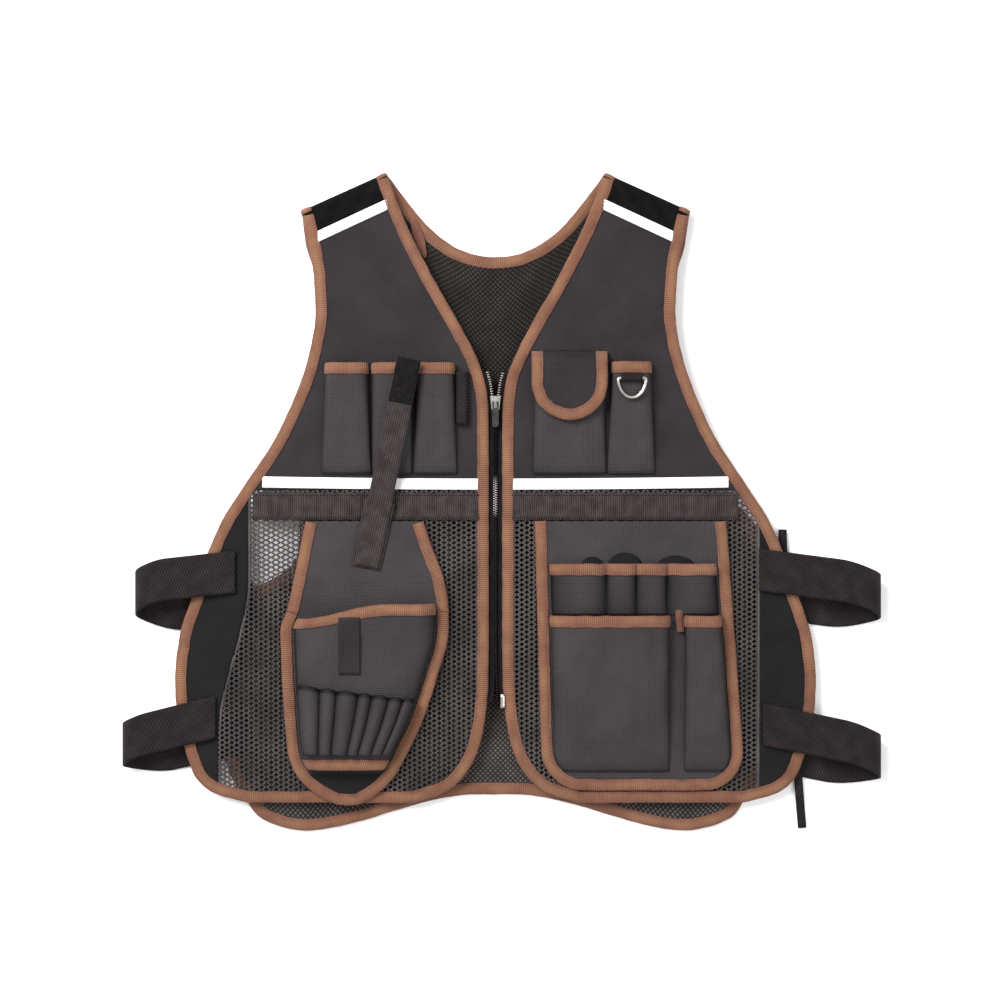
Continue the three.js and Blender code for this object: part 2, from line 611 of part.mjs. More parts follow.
// Zip: two tapes behind the bound edges, one closed chain between them, a slider and its pull
const tapeHeight = (x, y) => underside(x, y) - GAP - TAPE - GAP - TAPE;
const chainHeight = (x, y) => tapeHeight(x, y) + TAPE + GAP;
function addZip() {
  for (const [side, name] of [[-1, "left"], [1, "right"]]) {
    const plan = steps(ZIP_TOP, ZIP_BOTTOM, 9).map((y) => {
      const edge = Math.max(innerEdge(y) - ZIP_HALF_GAP, 0) + GAP;
      return [edge, edge + ZIP_TAPE_WIDTH].map((x) => [side * x, y]);
    });
    add("zip_tape_" + name, cloth(plan, tapeHeight, TAPE), "zip");
  }
  const run = steps(SLIDER_Y - SLIDER.length / 2 - GAP, ZIP_BOTTOM, 9);
  const chain = run.map((y) => [-CHAIN_WIDTH / 2, 0, CHAIN_WIDTH / 2].map((x) => [x, y]));
  add("zip_chain", cloth(chain, chainHeight, CHAIN_THICKNESS), "metal");

  const seat = chainHeight(0, SLIDER_Y);
  const outline = new THREE.Shape();
  outline.moveTo(-SLIDER.width / 2, SLIDER.length / 2);
  outline.lineTo(SLIDER.width / 2, SLIDER.length / 2);
  outline.lineTo(SLIDER.width * 0.36, -SLIDER.length / 2);
  outline.lineTo(-SLIDER.width * 0.36, -SLIDER.length / 2);
  outline.closePath();
  const body = new THREE.ExtrudeGeometry(outline, { depth: SLIDER.thickness, bevelEnabled: false });

  const { half, height, bar, width } = BRIDGE;
  const inner = half - bar;
  const arc = new THREE.Shape();
  arc.moveTo(-half, -bar);
  arc.lineTo(-half, height - bar);
  arc.lineTo(-inner, height);
  arc.lineTo(inner, height);
  arc.lineTo(half, height - bar);
  arc.lineTo(half, -bar);
  arc.lineTo(inner, -bar);
  arc.lineTo(inner, height - 2 * bar);
  arc.lineTo(inner - bar, height - bar);
  arc.lineTo(bar - inner, height - bar);
  arc.lineTo(-inner, height - 2 * bar);
  arc.lineTo(-inner, -bar);
  arc.closePath();
  const bridge = new THREE.ExtrudeGeometry(arc, { depth: width, bevelEnabled: false });
  const lengthwise = new THREE.Matrix4().makeBasis(point(0, 1, 0), point(0, 0, 1), point(1, 0, 0));
  bridge.applyMatrix4(lengthwise.setPosition(-width / 2, 0, SLIDER.thickness));
  add("zip_slider", joined(body, bridge), "metal").position.set(0, SLIDER_Y, seat);
  return seat + SLIDER.thickness;
}

// Pull: a flat tab whose end bar lies under the slider's bridge and turns there
function addPull(top) {
  const half = PULL.thickness / 2;
  const tip = half - PULL.length + PULL.width / 2;
  const tab = new THREE.Shape();
  tab.moveTo(-PULL.width / 2, half);
  tab.lineTo(-PULL.width / 2, tip);
  tab.absarc(0, tip, PULL.width / 2, Math.PI, 2 * Math.PI, false);
  tab.lineTo(PULL.width / 2, half);
  tab.closePath();
  const eye = new THREE.Path();
  eye.moveTo(-PULL.eyeWidth / 2, -half);
  eye.lineTo(PULL.eyeWidth / 2, -half);
  eye.lineTo(PULL.eyeWidth / 2, -half - PULL.eyeLength);
  eye.lineTo(-PULL.eyeWidth / 2, -half - PULL.eyeLength);
  eye.closePath();
  tab.holes.push(eye);
  const settings = { depth: PULL.thickness, bevelEnabled: false, curveSegments: 3 };
  const geometry = new THREE.ExtrudeGeometry(tab, settings);
  add("zip_pull", geometry, "metal").position.set(0, SLIDER_Y, top + GAP);
}

// Half-round patch pocket on a carrying surface. Its section is a rounded box, widest at the mouth.
// left and right give the inside edges at a height, mouth and floor the ends of a column, and
// depth the inside depth at a share of the way down.
const ARCH_POINTS = 9;
const ARCH_POWER = 2 / 3.2;
function arch(t) {
  const turn = Math.PI * (1 - t);
  const c = Math.cos(turn);
  return [Math.sign(c) * Math.abs(c) ** ARCH_POWER, Math.max(Math.sin(turn), 0) ** ARCH_POWER];
}
function pocketRows({ left, right, mouth, floor, depth, seat, rows = 5, points = ARCH_POINTS }) {
  return steps(0, 1, rows).map((v) =>
    steps(0, 1, points).map((t) => {
      const [a, h] = arch(t);
      const u = (a + 1) / 2;
      const y = lerp(mouth(u), floor(u), v);
      const x = lerp(left(y), right(y), u);
      return point(x, y, seat(x, y) + GAP + depth(v) * h);
    }),
  );
}
// Normals of a row in its own upright plane, pointing away from the pocket's inside, longer at corners
// so that an offset keeps its distance from both sides
function rowNormals(row) {
  const square = (a, b) => new THREE.Vector2(a.z - b.z, b.x - a.x).normalize();
  return row.map((_, i) => {
    if (i === 0) return point(-1, 0, 0);
    if (i === row.length - 1) return point(1, 0, 0);
    const before = square(row[i - 1], row[i]);
    const mean = square(row[i], row[i + 1]).add(before).normalize();
    mean.divideScalar(Math.max(mean.dot(before), 0.42));
    return point(mean.x, 0, mean.y);
  });
}
const offsetRows = (rows, distance) =>
  rows.map((row) => {
    const normals = rowNormals(row);
    return row.map((p, i) => p.clone().addScaledVector(normals[i], distance));
  });
const pocketWall = (rows) => wall(offsetRows(rows, CLOTH), rows);

// Binding over the mouth or the foot of a pocket, carried along the given row and lying along the next.
function mouthBinding(rows) {
  const normals = rowNormals(rows[0]);
  const stations = rows[0].map((p, i) => {
    const across = rows[1][i].clone().sub(p).normalize();
    const up = normals[i].clone().addScaledVector(across, -normals[i].dot(across));
    up.setLength(normals[i].length());
    const at = p.clone().addScaledVector(up, CLOTH / 2).addScaledVector(across, -TAPE - GAP);
    return { at, across, up };
  });
  return sweep(stations, bindingSection());
}
const WALL_OUT = CLOTH + GAP + TAPE; // from the inside of a pocket to the outside of its binding
const fade = (depth, power = 2.2, least = 0.5) => (v) => least + (depth - least) * (1 - v ** power);
const widening = (centre, half, flare, mouthY, floorY, side) => (y) =>
  centre + side * (half + (flare / 2) * clamp((mouthY - y) / (mouthY - floorY), 0, 1));
function plainPocket({ centre, width, flare, depth }, mouthY, floorY, seat) {
  const half = width / 2 - WALL_OUT;
  return pocketRows({
    left: widening(centre, half, flare, mouthY, floorY, -1),
    right: widening(centre, half, flare, mouthY, floorY, 1),
    mouth: () => mouthY - TAPE - GAP,
    floor: () => floorY,
    depth: fade(depth),
    seat,
  });
}

function addChestPockets() {
  for (const pocket of CHEST_POCKETS) {
    const rows = plainPocket({ ...pocket, depth: CHEST_DEPTH }, CHEST_MOUTH_Y, CHEST_FLOOR_Y, skin);
    add("chest_pocket_" + pocket.name, pocketWall(rows), "oxford");
    add("chest_pocket_binding_" + pocket.name, mouthBinding(rows), "binding");
  }
  const pen = pocketRows({
    left: () => PEN_LOOP.centre - PEN_LOOP.width / 2 + CLOTH,
    right: () => PEN_LOOP.centre + PEN_LOOP.width / 2 - CLOTH,
    mouth: () => PEN_LOOP.top,
    floor: () => PEN_LOOP.bottom,
    depth: () => PEN_LOOP.depth,
    seat: skin,
    rows: 3,
    points: 7,
  });
  add("pen_loop", pocketWall(pen), "webbing");
}

// Flap pocket and its U-shaped flap, which starts on the yoke and lies over the pocket's mouth
function addFlapPocket() {
  const mouthY = CHEST_MOUTH_Y;
  const rows = plainPocket(FLAP_POCKET, mouthY, CHEST_FLOOR_Y, skin);
  add("flap_pocket", pocketWall(rows), "oxford");

  const flapBottom = FLAP.top - FLAP.length;
  const raised = FLAP_POCKET.depth + CLOTH + FLAP.clear;
  const flapHeight = (x, y) => {
    const ease = clamp((FLAP.top - y) / (FLAP.top - mouthY - 2), 0, 1);
    const away = Math.min(Math.abs(x - FLAP_POCKET.centre) / (FLAP.width / 2), 1);
    return skin(x, y) + 2 * GAP + TAPE + (raised - TAPE) * ease * (1 - 0.07 * away ** 2);
  };
  const half = FLAP.width / 2;
  const curveY = flapBottom + half;
  const reach = (y, inset) => {
    const r = half - inset;
    return y >= curveY ? r : Math.sqrt(Math.max(r * r - (curveY - y) ** 2, 0));
  };
  const lowest = flapBottom + TUCK + 1;
  const straightRows = [FLAP.top, mouthY + 2, mouthY - 8, curveY];
  const roundRows = steps(0.25, 1, 5).map((t) => lerp(curveY, lowest, Math.sin((t * Math.PI) / 2)));
  const ys = [...straightRows, ...roundRows];
  const plan = ys.map((y) => {
    const r = Math.max(reach(y, TUCK), 6);
    return steps(-r, r, 6).map((x) => [FLAP_POCKET.centre + x, y]);
  });
  add("pocket_flap", cloth(plan, flapHeight), "oxford");

  const straight = straightRows.map((y) => [-half, y]);
  const bend = steps(1, 11, 11).map((i) => {
    const turn = Math.PI + (Math.PI * i) / 12;
    return [half * Math.cos(turn), curveY + half * Math.sin(turn)];
  });
  const line = [...straight, ...bend, ...straight.map(([x, y]) => [-x, y]).reverse()];
  const placed = line.map(([x, y]) => [x + FLAP_POCKET.centre, y]);
  const middle = (x, y) => flapHeight(x, y) + CLOTH / 2;
  add("pocket_flap_binding", sweep(level(placed, middle, 1), bindingSection()), "binding");
}

// Narrow tool pocket beside the flap, with a D-ring in a folded tab under its binding
function addToolPocket() {
  const rows = plainPocket({ ...TOOL_POCKET, depth: CHEST_DEPTH }, TOOL_POCKET.mouth, CHEST_FLOOR_Y, skin);
  add("tool_pocket", pocketWall(rows), "oxford");
  add("tool_pocket_binding", mouthBinding(rows), "binding");

  const ringX = TOOL_POCKET.centre;
  const crown = skin(ringX, D_RING.y) + GAP + CHEST_DEPTH + CLOTH + GAP;
  const axisHeight = crown + TAPE + D_RING.wire / 2 + GAP;
  const half = (D_RING.inside + D_RING.wire) / 2;
  const bar = steps(-half, half, 3).map((x) => [x, 0]);
  const round = steps(1, 9, 9).map((i) => {
    const turn = (-Math.PI * i) / 10;
    return [half * Math.cos(turn), (D_RING.drop + D_RING.wire / 2) * Math.sin(turn)];
  });
  const loop = [...bar, ...round];
  const stations = loop.map(([x, y], i) => {
    const before = loop[(i + loop.length - 1) % loop.length];
    const after = loop[(i + 1) % loop.length];
    const way = new THREE.Vector2(after[0] - before[0], after[1] - before[1]).normalize();
    return {
      at: point(ringX + x, D_RING.y + y, axisHeight),
      across: point(-way.y, way.x, 0),
      up: point(0, 0, 1),
    };
  });
  const wire = steps(0, 5, 6).map((i) => {
    const turn = (Math.PI * (2 * i + 1)) / 6;
    return [(D_RING.wire / 2) * Math.cos(turn), (D_RING.wire / 2) * Math.sin(turn)];
  });
  add("d_ring", sweep(stations, wire, true), "metal");

  // The tab is one tape folded round the ring's bar: two flat legs and a round end
  const inside = D_RING.wire / 2 + GAP;
  const reach = TOOL_POCKET.mouth - BINDING_WIDTH - 2 * GAP - D_RING.y;
  const outer = [];
  const inner = [];
  for (let i = 0; i <= 6; i++) {
    const turn = -Math.PI / 2 - (Math.PI * i) / 6;
    const put = (list, r) => list.push([-Math.cos(turn) * -r, r * Math.sin(turn) * -1]);
    put(outer, inside + TAPE);
    put(inner, inside);
  }
  const section = [
    [reach, inside + TAPE],
    ...outer.map(([a, u]) => [-Math.abs(a), u]),
    [reach, -inside - TAPE],
    [reach, -inside],
    ...inner.reverse().map(([a, u]) => [-Math.abs(a), u]),
    [reach, inside],
  ];
  const tabStations = [-D_TAB_WIDTH / 2, D_TAB_WIDTH / 2].map((x) => ({
    at: point(ringX + x, D_RING.y, axisHeight),
    across: point(0, 1, 0),
    up: point(0, 0, 1),
  }));
  add("d_ring_tab", sweep(tabStations, section), "webbing");
}

// Drop strap: webbing that starts above the middle pocket, lies over it and hangs to the holster
function addDropStrap() {
  const over = CHEST_DEPTH + WALL_OUT + DROP_STRAP.over;
  const DROP_TABLE = [
    { down: 0, rise: 0.05 },
    { down: 0.035, rise: 0.9 },
    { down: 0.07, rise: 1 },
    { down: 0.25, rise: 0.97 },
    { down: 0.45, rise: 0.8 },
    { down: 0.6, rise: 0.42 },
    { down: 0.72, rise: 0.34 },
    { down: 0.86, rise: 0.3 },
    { down: 1, rise: 0.26 },
  ];
  const startY = DROP_STRAP.topY + 12;
  const stations = DROP_TABLE.map(({ down, rise }) => {
    const y = lerp(startY, DROP_STRAP.endY, down);
    const x = lerp(DROP_STRAP.topX, DROP_STRAP.endX, down);
    return { x, y, z: skin(x, y) + 2 * GAP + over * rise };
  });
  const way = new THREE.Vector2(DROP_STRAP.endX - DROP_STRAP.topX, DROP_STRAP.endY - startY).normalize();
  const grid = (extra) =>
    stations.map(({ x, y, z }) =>
      [-0.5, 0.5].map((t) =>
        point(x - way.y * t * -DROP_STRAP.width, y + way.x * t * -DROP_STRAP.width, z + extra),
      ),
    );
  add("drop_strap", wall(grid(WEBBING), grid(0)), "webbing");
}

// Plates that carry the holster and the pouch: each clears its own binding's lower turn,
// and the holster's clears the hem's binding too
const pouchSeat = (x, y) => skin(x, y) + 2 * GAP + TAPE;
const holsterSeat = (x, y) => pouchSeat(x, y) + GAP + TAPE;
const HOLSTER_OUTLINE = [
  { down: 0, left: -0.35, right: 0.35 },
  { down: 0.31, left: -0.46, right: 0.5 },
  { down: 0.38, left: -0.5, right: 0.5 },
  { down: 0.55, left: -0.49, right: 0.43 },
  { down: 0.7, left: -0.475, right: 0.345 },
  { down: 0.82, left: -0.455, right: 0.25 },
  { down: 0.9, left: -0.4, right: 0.175 },
  { down: 0.96, left: -0.29, right: 0.075 },
  { down: 1, left: -0.16, right: -0.04 },
];
const HOLSTER_LENGTH = PLATE_TOP_Y - HOLSTER.bottomY;
const holsterDown = (y) => (PLATE_TOP_Y - y) / HOLSTER_LENGTH;
const holsterEdge = (key) => (y) => HOLSTER.centre + HOLSTER.shoulderWidth * along(HOLSTER_OUTLINE, "down", key, holsterDown(y));
const holsterLeft = holsterEdge("left");
const holsterRight = holsterEdge("right");

function addHolster() {
  const bottom = HOLSTER.bottomY + TUCK;
  const ys = [...steps(PLATE_TOP_Y, -200, 7), ...steps(-215, bottom, 7)];
  const plan = ys.map((y) => steps(tucked(holsterLeft, y, 1), tucked(holsterRight, y, -1), 5).map((x) => [x, y]));
  add("holster_back", cloth(plan, holsterSeat), "oxford");

  const middle = (x, y) => holsterSeat(x, y) + CLOTH / 2;
  const split = HOLSTER.shoulderY;
  const upper = steps(PLATE_TOP_Y, split + TUCK, 4);
  for (const [edge, name, side] of [[holsterLeft, "left", 1], [holsterRight, "right", -1]]) {
    const line = upper.map((y) => [edge(y), y]);
    add("holster_side_binding_" + name, sweep(level(line, middle, side), bindingSection()), "binding");
  }
  const lower = [...steps(split - GAP, -200, 4), ...steps(-218, HOLSTER.bottomY + 4, 7)];
  const round = [
    ...lower.map((y) => [holsterLeft(y), y]),
    [holsterLeft(HOLSTER.bottomY), HOLSTER.bottomY],
    [holsterRight(HOLSTER.bottomY), HOLSTER.bottomY],
    ...lower.map((y) => [holsterRight(y), y]).reverse(),
  ];
  add("holster_edge_binding", sweep(level(round, middle, 1), bindingSection()), "binding");

  // The pocket's front stands inside the edge binding, open at its mouth and at its foot
  const inside = BINDING_WIDTH + 3 * GAP + WALL_OUT;
  const left = (y) => tucked(holsterLeft, y, 1, inside);
  const right = (y) => tucked(holsterRight, y, -1, inside);
  const mouth = (u) => HOLSTER.shoulderY - 9 + 14 * smooth(u * 1.6);
  const { mouth: wide, waist, foot } = HOLSTER_DEPTH;
  const depth = (v) => lerp(lerp(wide, waist, smooth(v / 0.45)), foot, smooth((v - 0.85) / 0.15));
  const rows = pocketRows({
    left,
    right,
    mouth,
    floor: () => HOLSTER_BASE_Y,
    depth,
    seat: (x, y) => holsterSeat(x, y) + CLOTH,
    rows: 8,
    points: 11,
  });
  add("holster_front", pocketWall(rows), "oxford");
  add("holster_mouth_binding", mouthBinding(rows), "binding");
  add("holster_base_binding", mouthBinding([...rows].reverse()), "binding");

  // Elastic sewn down between sleeves for bits, on the front of the holster
  const outside = offsetRows(rows, CLOTH);
  const frontHeight = (x, y) => {
    const v = clamp((HOLSTER.shoulderY - y) / (HOLSTER.shoulderY - HOLSTER_BASE_Y), 0, 1);
    const f = v * (outside.length - 1);
    const i = Math.min(Math.floor(f), outside.length - 2);
    const onRow = (row) => {
      const k = clamp(row.findIndex((p) => p.x > x), 1, row.length - 1);
      return lerp(row[k - 1].z, row[k].z, clamp((x - row[k - 1].x) / (row[k].x - row[k - 1].x), 0, 1));
    };
    return Math.max(onRow(outside[i]), onRow(outside[i + 1])) + GAP;
  };
  const sleeveTop = BIT_SLEEVES.top;
  const sleeveBottom = BIT_SLEEVES.top - BIT_SLEEVES.length;
  const grid = [0, 0.5, 1].map((v) => {
    const y = lerp(sleeveTop, sleeveBottom, v);
    const from = left(y) + 7;
    const to = right(y) - 7;
    const pitch = (to - from) / BIT_SLEEVES.count;
    const row = [];
    for (let i = 0; i < BIT_SLEEVES.count; i++) {
      for (const [a, h] of [[0, 0], [0.12, 0.75], [0.35, 1], [0.65, 1], [0.88, 0.75]]) {
        const x = from + (i + a) * pitch;
        row.push(point(x, y, frontHeight(x, y) + BIT_SLEEVES.depth * h * (1 - 0.15 * v)));
      }
    }
    row.push(point(to, y, frontHeight(to, y)));
    return row;
  });
  const raised = grid.map((row) => row.map((p) => p.clone().add(point(0, 0, CLOTH))));
  add("bit_sleeves", wall(raised, grid), "webbing");
}

function pouchEdge(side) {
  return (y) => {
    const t = (PLATE_TOP_Y - y) / (PLATE_TOP_Y - POUCH.bottomY);
    const half = lerp(POUCH.topWidth, POUCH.bottomWidth, clamp(t, 0, 1)) / 2;
    const into = POUCH.corner - (y - POUCH.bottomY);
    const round = into > 0 ? POUCH.corner - Math.sqrt(Math.max(POUCH.corner ** 2 - into ** 2, 0)) : 0;
    const lean = POUCH.lean * clamp(t, 0, 1);
    return POUCH.centre + lean + side * (half - round);
  };
}
const pouchLeft = pouchEdge(-1);
const pouchRight = pouchEdge(1);

function addPouch() {
  const cornerTop = POUCH.bottomY + POUCH.corner;
  const cornerRows = (inset) =>
    steps(1, 5, 5).map((i) => lerp(cornerTop, POUCH.bottomY + inset, Math.sin((i * Math.PI) / 10)));
  const ys = [...steps(PLATE_TOP_Y, cornerTop, 6), ...cornerRows(TUCK)];
  const plan = ys.map((y) => steps(tucked(pouchLeft, y, 1), tucked(pouchRight, y, -1), 6).map((x) => [x, y]));
  add("pouch_back", cloth(plan, pouchSeat), "oxford");

  const sideRows = [...steps(PLATE_TOP_Y, cornerTop, 6), ...cornerRows(0)];
  const line = [...sideRows.map((y) => [pouchLeft(y), y]), ...sideRows.map((y) => [pouchRight(y), y]).reverse()];
  const middle = (x, y) => pouchSeat(x, y) + CLOTH / 2;
  add("pouch_edge_binding", sweep(level(line, middle, 1), bindingSection()), "binding");

  // A row of small pockets, one cloth drawn down between them
  const onPlate = (x, y) => pouchSeat(x, y) + CLOTH;
  const inside = BINDING_WIDTH + GAP + WALL_OUT;
  const left = (y) => tucked(pouchLeft, y, 1, inside);
  const right = (y) => tucked(pouchRight, y, -1, inside);
  const dip = 2 * (TAPE + 2 * GAP);
  const small = [0, 0.27, 0.6, 1].map((v) => {
    const y = lerp(SMALL_MOUTH_Y - TAPE - GAP, LARGE_MOUTH_Y + GAP, v);
    const bounds = [left(y), ...SMALL_SPLITS, right(y)];
    const high = fade(SMALL_DEPTH, 1.6, 0.8)(v);
    const row = [];
    for (let i = 0; i < bounds.length - 1; i++) {
      const foot = i ? dip : 0;
      const profile = [[0, foot], [i ? 0.2 : 0.07, high * 0.8], [0.38, high], [0.62, high]];
      profile.push([i === bounds.length - 2 ? 0.93 : 0.8, high * 0.8]);
      for (const [a, h] of profile) {
        const x = lerp(bounds[i], bounds[i + 1], a);
        row.push(point(x, y, onPlate(x, y) + GAP + h));
      }
    }
    row.push(point(right(y), y, onPlate(right(y), y) + GAP));
    return row;
  });
  add("small_pockets", pocketWall(small), "oxford");
  add("small_pockets_binding", mouthBinding(small), "binding");

  const flat = (value) => () => value;
  for (const [name, from, to] of [
    ["large", left, flat(LARGE_POCKET_RIGHT - WALL_OUT)],
    ["narrow", flat(NARROW_POCKET_LEFT + WALL_OUT), right],
  ]) {
    const rows = pocketRows({
      left: from,
      right: to,
      mouth: flat(LARGE_MOUTH_Y - TAPE - GAP),
      floor: flat(POCKET_FLOOR_Y),
      depth: fade(LARGE_DEPTH, 2.6),
      seat: onPlate,
      rows: 6,
    });
    add(name + "_pocket", pocketWall(rows), "oxford");
    add(name + "_pocket_binding", mouthBinding(rows), "binding");
  }
}

// Side strap: webbing sewn to the side of a front, turning in an open loop and coming back
// low to the side edge of the back
const LOOP_STEPS = 9;
function addSideStrap({ name, side, sewn, reach, y, slope, drop }) {
  const onFront = skin(sewn, y) + TAPE + 3 * GAP;
  const lowest = WEBBING / 2 + GAP;
  const crown = STRAP_LOOP_HEIGHT;
  const radius = (crown - lowest) / 2;
  const middle = [];
  const overEdge = outerEdge(y) + 4;
  middle.push({ x: sewn, z: onFront + WEBBING / 2 });
  middle.push({ x: lerp(sewn, overEdge, 0.5), z: onFront + WEBBING / 2 + GAP });
  middle.push({ x: overEdge, z: onFront + WEBBING });
  const turnX = reach - radius;
  for (let i = 0; i <= LOOP_STEPS; i++) {
    const turn = Math.PI / 2 - (Math.PI * i) / LOOP_STEPS;
    middle.push({ x: turnX + radius * Math.cos(turn), z: lowest + radius + radius * Math.sin(turn) });
  }
  const backSide = backEdge(y - drop);
  const overBack = BACK_LIFT + CLOTH + GAP + TAPE + GAP + WEBBING / 2;
  middle.push({ x: backSide + 14, z: lowest });
  middle.push({ x: backSide + 5, z: overBack });
  middle.push({ x: backSide - 24, z: overBack });
  const last = middle.length - 1;
  const lean = new THREE.Vector3(0, 1, 0);
  const lengths = middle.map((p, i) => (i ? Math.hypot(p.x - middle[i - 1].x, p.z - middle[i - 1].z) : 0));
  const total = lengths.reduce((a, b) => a + b, 0);
  let run = 0;
  const stations = middle.map((p, i) => {
    run += lengths[i];
    const a = middle[Math.max(i - 1, 0)];
    const b = middle[Math.min(i + 1, last)];
    const way = point(b.x - a.x, 0, b.z - a.z).normalize();
    const normal = point(side * -way.z, 0, way.x);
    const fall = slope * (Math.min(p.x, reach) - sewn) - drop * smooth((run / total - 0.3) / 0.4);
    return { at: point(side * p.x, y + fall, p.z), across: lean, up: normal };
  });
  const section = [
    [-STRAP_WIDTH / 2, -WEBBING / 2],
    [STRAP_WIDTH / 2, -WEBBING / 2],
    [STRAP_WIDTH / 2, WEBBING / 2],
    [-STRAP_WIDTH / 2, WEBBING / 2],
  ];
  add("side_strap_" + name, sweep(stations, section), "webbing");
}

// Loose tape that runs behind the right side and shows at its two ends
function addSideTape() {
  const { top, bottom, topX, bottomX, width, thickness } = SIDE_TAPE;
  const line = steps(0, 1, 9).map((t) => [lerp(topX, bottomX, t ** 1.3), lerp(top, bottom, t)]);
  const overStraps = WEBBING + 3 * GAP;
  const height = (x, y) => lerp(overStraps, GAP, smooth((HEM_Y + 18 - y) / 30));
  add("side_tape", sweep(level(line, height, -1), stripSection(width, thickness)), "webbing");
}

for (const [side, name] of [[-1, "left"], [1, "right"]]) {
  addShoulder(side, name);
  addYoke(side, name);
  addNet(side, name);
  addSidePatch(side, name);
  addFrontBinding(side, name);
  addBands(side, name);
}
addBack();
addBackBindings();
addPull(addZip());
addChestPockets();
addFlapPocket();
addToolPocket();
addDropStrap();
addHolster();
addPouch();
SIDE_STRAPS.forEach(addSideStrap);
addSideTape();

// The part stands on its lowest point, with the origin under the middle of its outline
vest.updateMatrixWorld(true);
const bounds = new THREE.Box3().setFromObject(vest);
const centre = bounds.getCenter(new THREE.Vector3());
vest.position.set(-centre.x, -centre.y, -bounds.min.z);

export default vest;
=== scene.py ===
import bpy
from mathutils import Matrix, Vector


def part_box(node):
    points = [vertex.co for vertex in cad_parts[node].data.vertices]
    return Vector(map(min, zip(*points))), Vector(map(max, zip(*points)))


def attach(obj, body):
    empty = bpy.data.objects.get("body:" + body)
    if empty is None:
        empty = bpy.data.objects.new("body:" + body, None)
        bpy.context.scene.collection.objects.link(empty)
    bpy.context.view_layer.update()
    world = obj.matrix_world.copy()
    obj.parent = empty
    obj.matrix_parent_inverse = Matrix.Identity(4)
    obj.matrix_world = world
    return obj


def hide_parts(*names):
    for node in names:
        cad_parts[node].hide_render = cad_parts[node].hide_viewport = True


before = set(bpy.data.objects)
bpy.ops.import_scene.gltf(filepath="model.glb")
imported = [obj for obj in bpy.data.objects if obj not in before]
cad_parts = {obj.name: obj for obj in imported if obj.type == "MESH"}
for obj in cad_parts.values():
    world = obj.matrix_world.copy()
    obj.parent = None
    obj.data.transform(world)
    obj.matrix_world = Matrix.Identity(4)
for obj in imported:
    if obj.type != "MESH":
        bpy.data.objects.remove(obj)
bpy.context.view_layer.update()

import math

import bmesh
import bpy
import numpy as np
from mathutils import Vector, noise

# ---- Back -----------------------------------------------------------------------------------------
# One panel of close-knitted polyester net, cut in one with the back of the shoulders. It lies flat
# on the table under everything else, and its raw edges are bound with folded tape.
CLOTH = 1.5  # mm, wall of every cloth piece
TAPE = 1.0  # wall of folded tape
GAP = 0.35  # between pieces that lie on each other
BINDING_WIDTH = 11  # of the tape once it is folded
TUCK = 2.4  # outside of a binding to the cloth's own edge
BACK_MIDDLE = TAPE + GAP + CLOTH / 2
NECK_Y, HEM_Y, FRONT_LENGTH = 312, -288, 600
BACK_HALF_WIDTH, BACK_HEM_Y, BACK_HEM_RISE, LOBE_AT = 249, -316, 35, 178
NECK_HALF, PATCH_TURN, SHOULDER_LINE, SHOULDER_DROP = 104, 30, 82, 37
NECK_BOTTOM_Y = NECK_Y - 80
HEM_CORNER, NECK_SHARE = 0.93, 0.36

# The design's centre line lies where the zip does, and its datum is 192 mm above the chain's end
zip_low, zip_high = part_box("zip_chain")
ORIGIN = np.array([(zip_low[0] + zip_high[0]) * 500, zip_low[1] * 1000 + 192, 0])

# down: share of the way from the shoulder fold to the lobes; left and right: share of
# BACK_HALF_WIDTH. The left armhole lies open under the front, the right one is pulled out straight.
BACK_SIDE = {
    "down": (
        0, 0.06, 0.107, 0.155, 0.21, 0.29, 0.36, 0.44, 0.53, 0.58, 0.605, 0.634, 0.66, 0.75, 0.82, 0.9,
        0.945, 1,
    ),
    "left": (
        0.775, 0.757, 0.731, 0.692, 0.665, 0.67, 0.69, 0.715, 0.747, 0.757, 0.803, 0.944, 1.04, 1.065,
        1.065, 1.03, 0.98, 0.9,
    ),
    "right": (
        0.775, 0.757, 0.731, 0.692, 0.665, 0.67, 0.69, 0.74, 0.99, 1.04, 1.05, 1.06, 1.065, 1.065,
        1.065, 1.03, 0.98, 0.9,
    ),
}
BACK_NECK_END = (NECK_HALF - 22, NECK_Y - PATCH_TURN)
BACK_ARM_END = (NECK_HALF + SHOULDER_LINE - 4, NECK_Y - SHOULDER_DROP - PATCH_TURN)


def along(table, column, key, at):
    """Smooth value through a table's rows, by cubic pieces with limited slopes."""
    xs, ys = np.array(table[column], float), np.array(table[key], float)
    rise = np.diff(ys) / np.diff(xs)
    slope = np.concatenate([rise[:1], np.zeros(len(xs) - 2), rise[-1:]])
    same = rise[:-1] * rise[1:] > 0
    slope[1:-1] = np.where(same, 2 * rise[:-1] * rise[1:] / np.where(same, rise[:-1] + rise[1:], 1), 0)
    at = np.clip(at, xs[0], xs[-1])
    k = np.clip(np.searchsorted(xs, at, "right") - 1, 0, len(xs) - 2)
    width, step = xs[k + 1] - xs[k], ys[k + 1] - ys[k]
    t = (at - xs[k]) / width
    a, b = slope[k] * width - step, step - slope[k + 1] * width
    return ys[k] + t * step + t * (1 - t) * (a * (1 - t) + b * t)


def ease(t):
    t = np.clip(t, 0, 1)
    return t * t * (3 - 2 * t)


def back_edge(y, key="left"):
    return BACK_HALF_WIDTH * along(BACK_SIDE, "down", key, (NECK_Y - y) / (NECK_Y - BACK_HEM_Y))


def neckline(x):
    rise = BACK_NECK_END[1] - NECK_BOTTOM_Y
    return NECK_BOTTOM_Y + rise * np.minimum(np.abs(x) / BACK_NECK_END[0], 1) ** 2.2


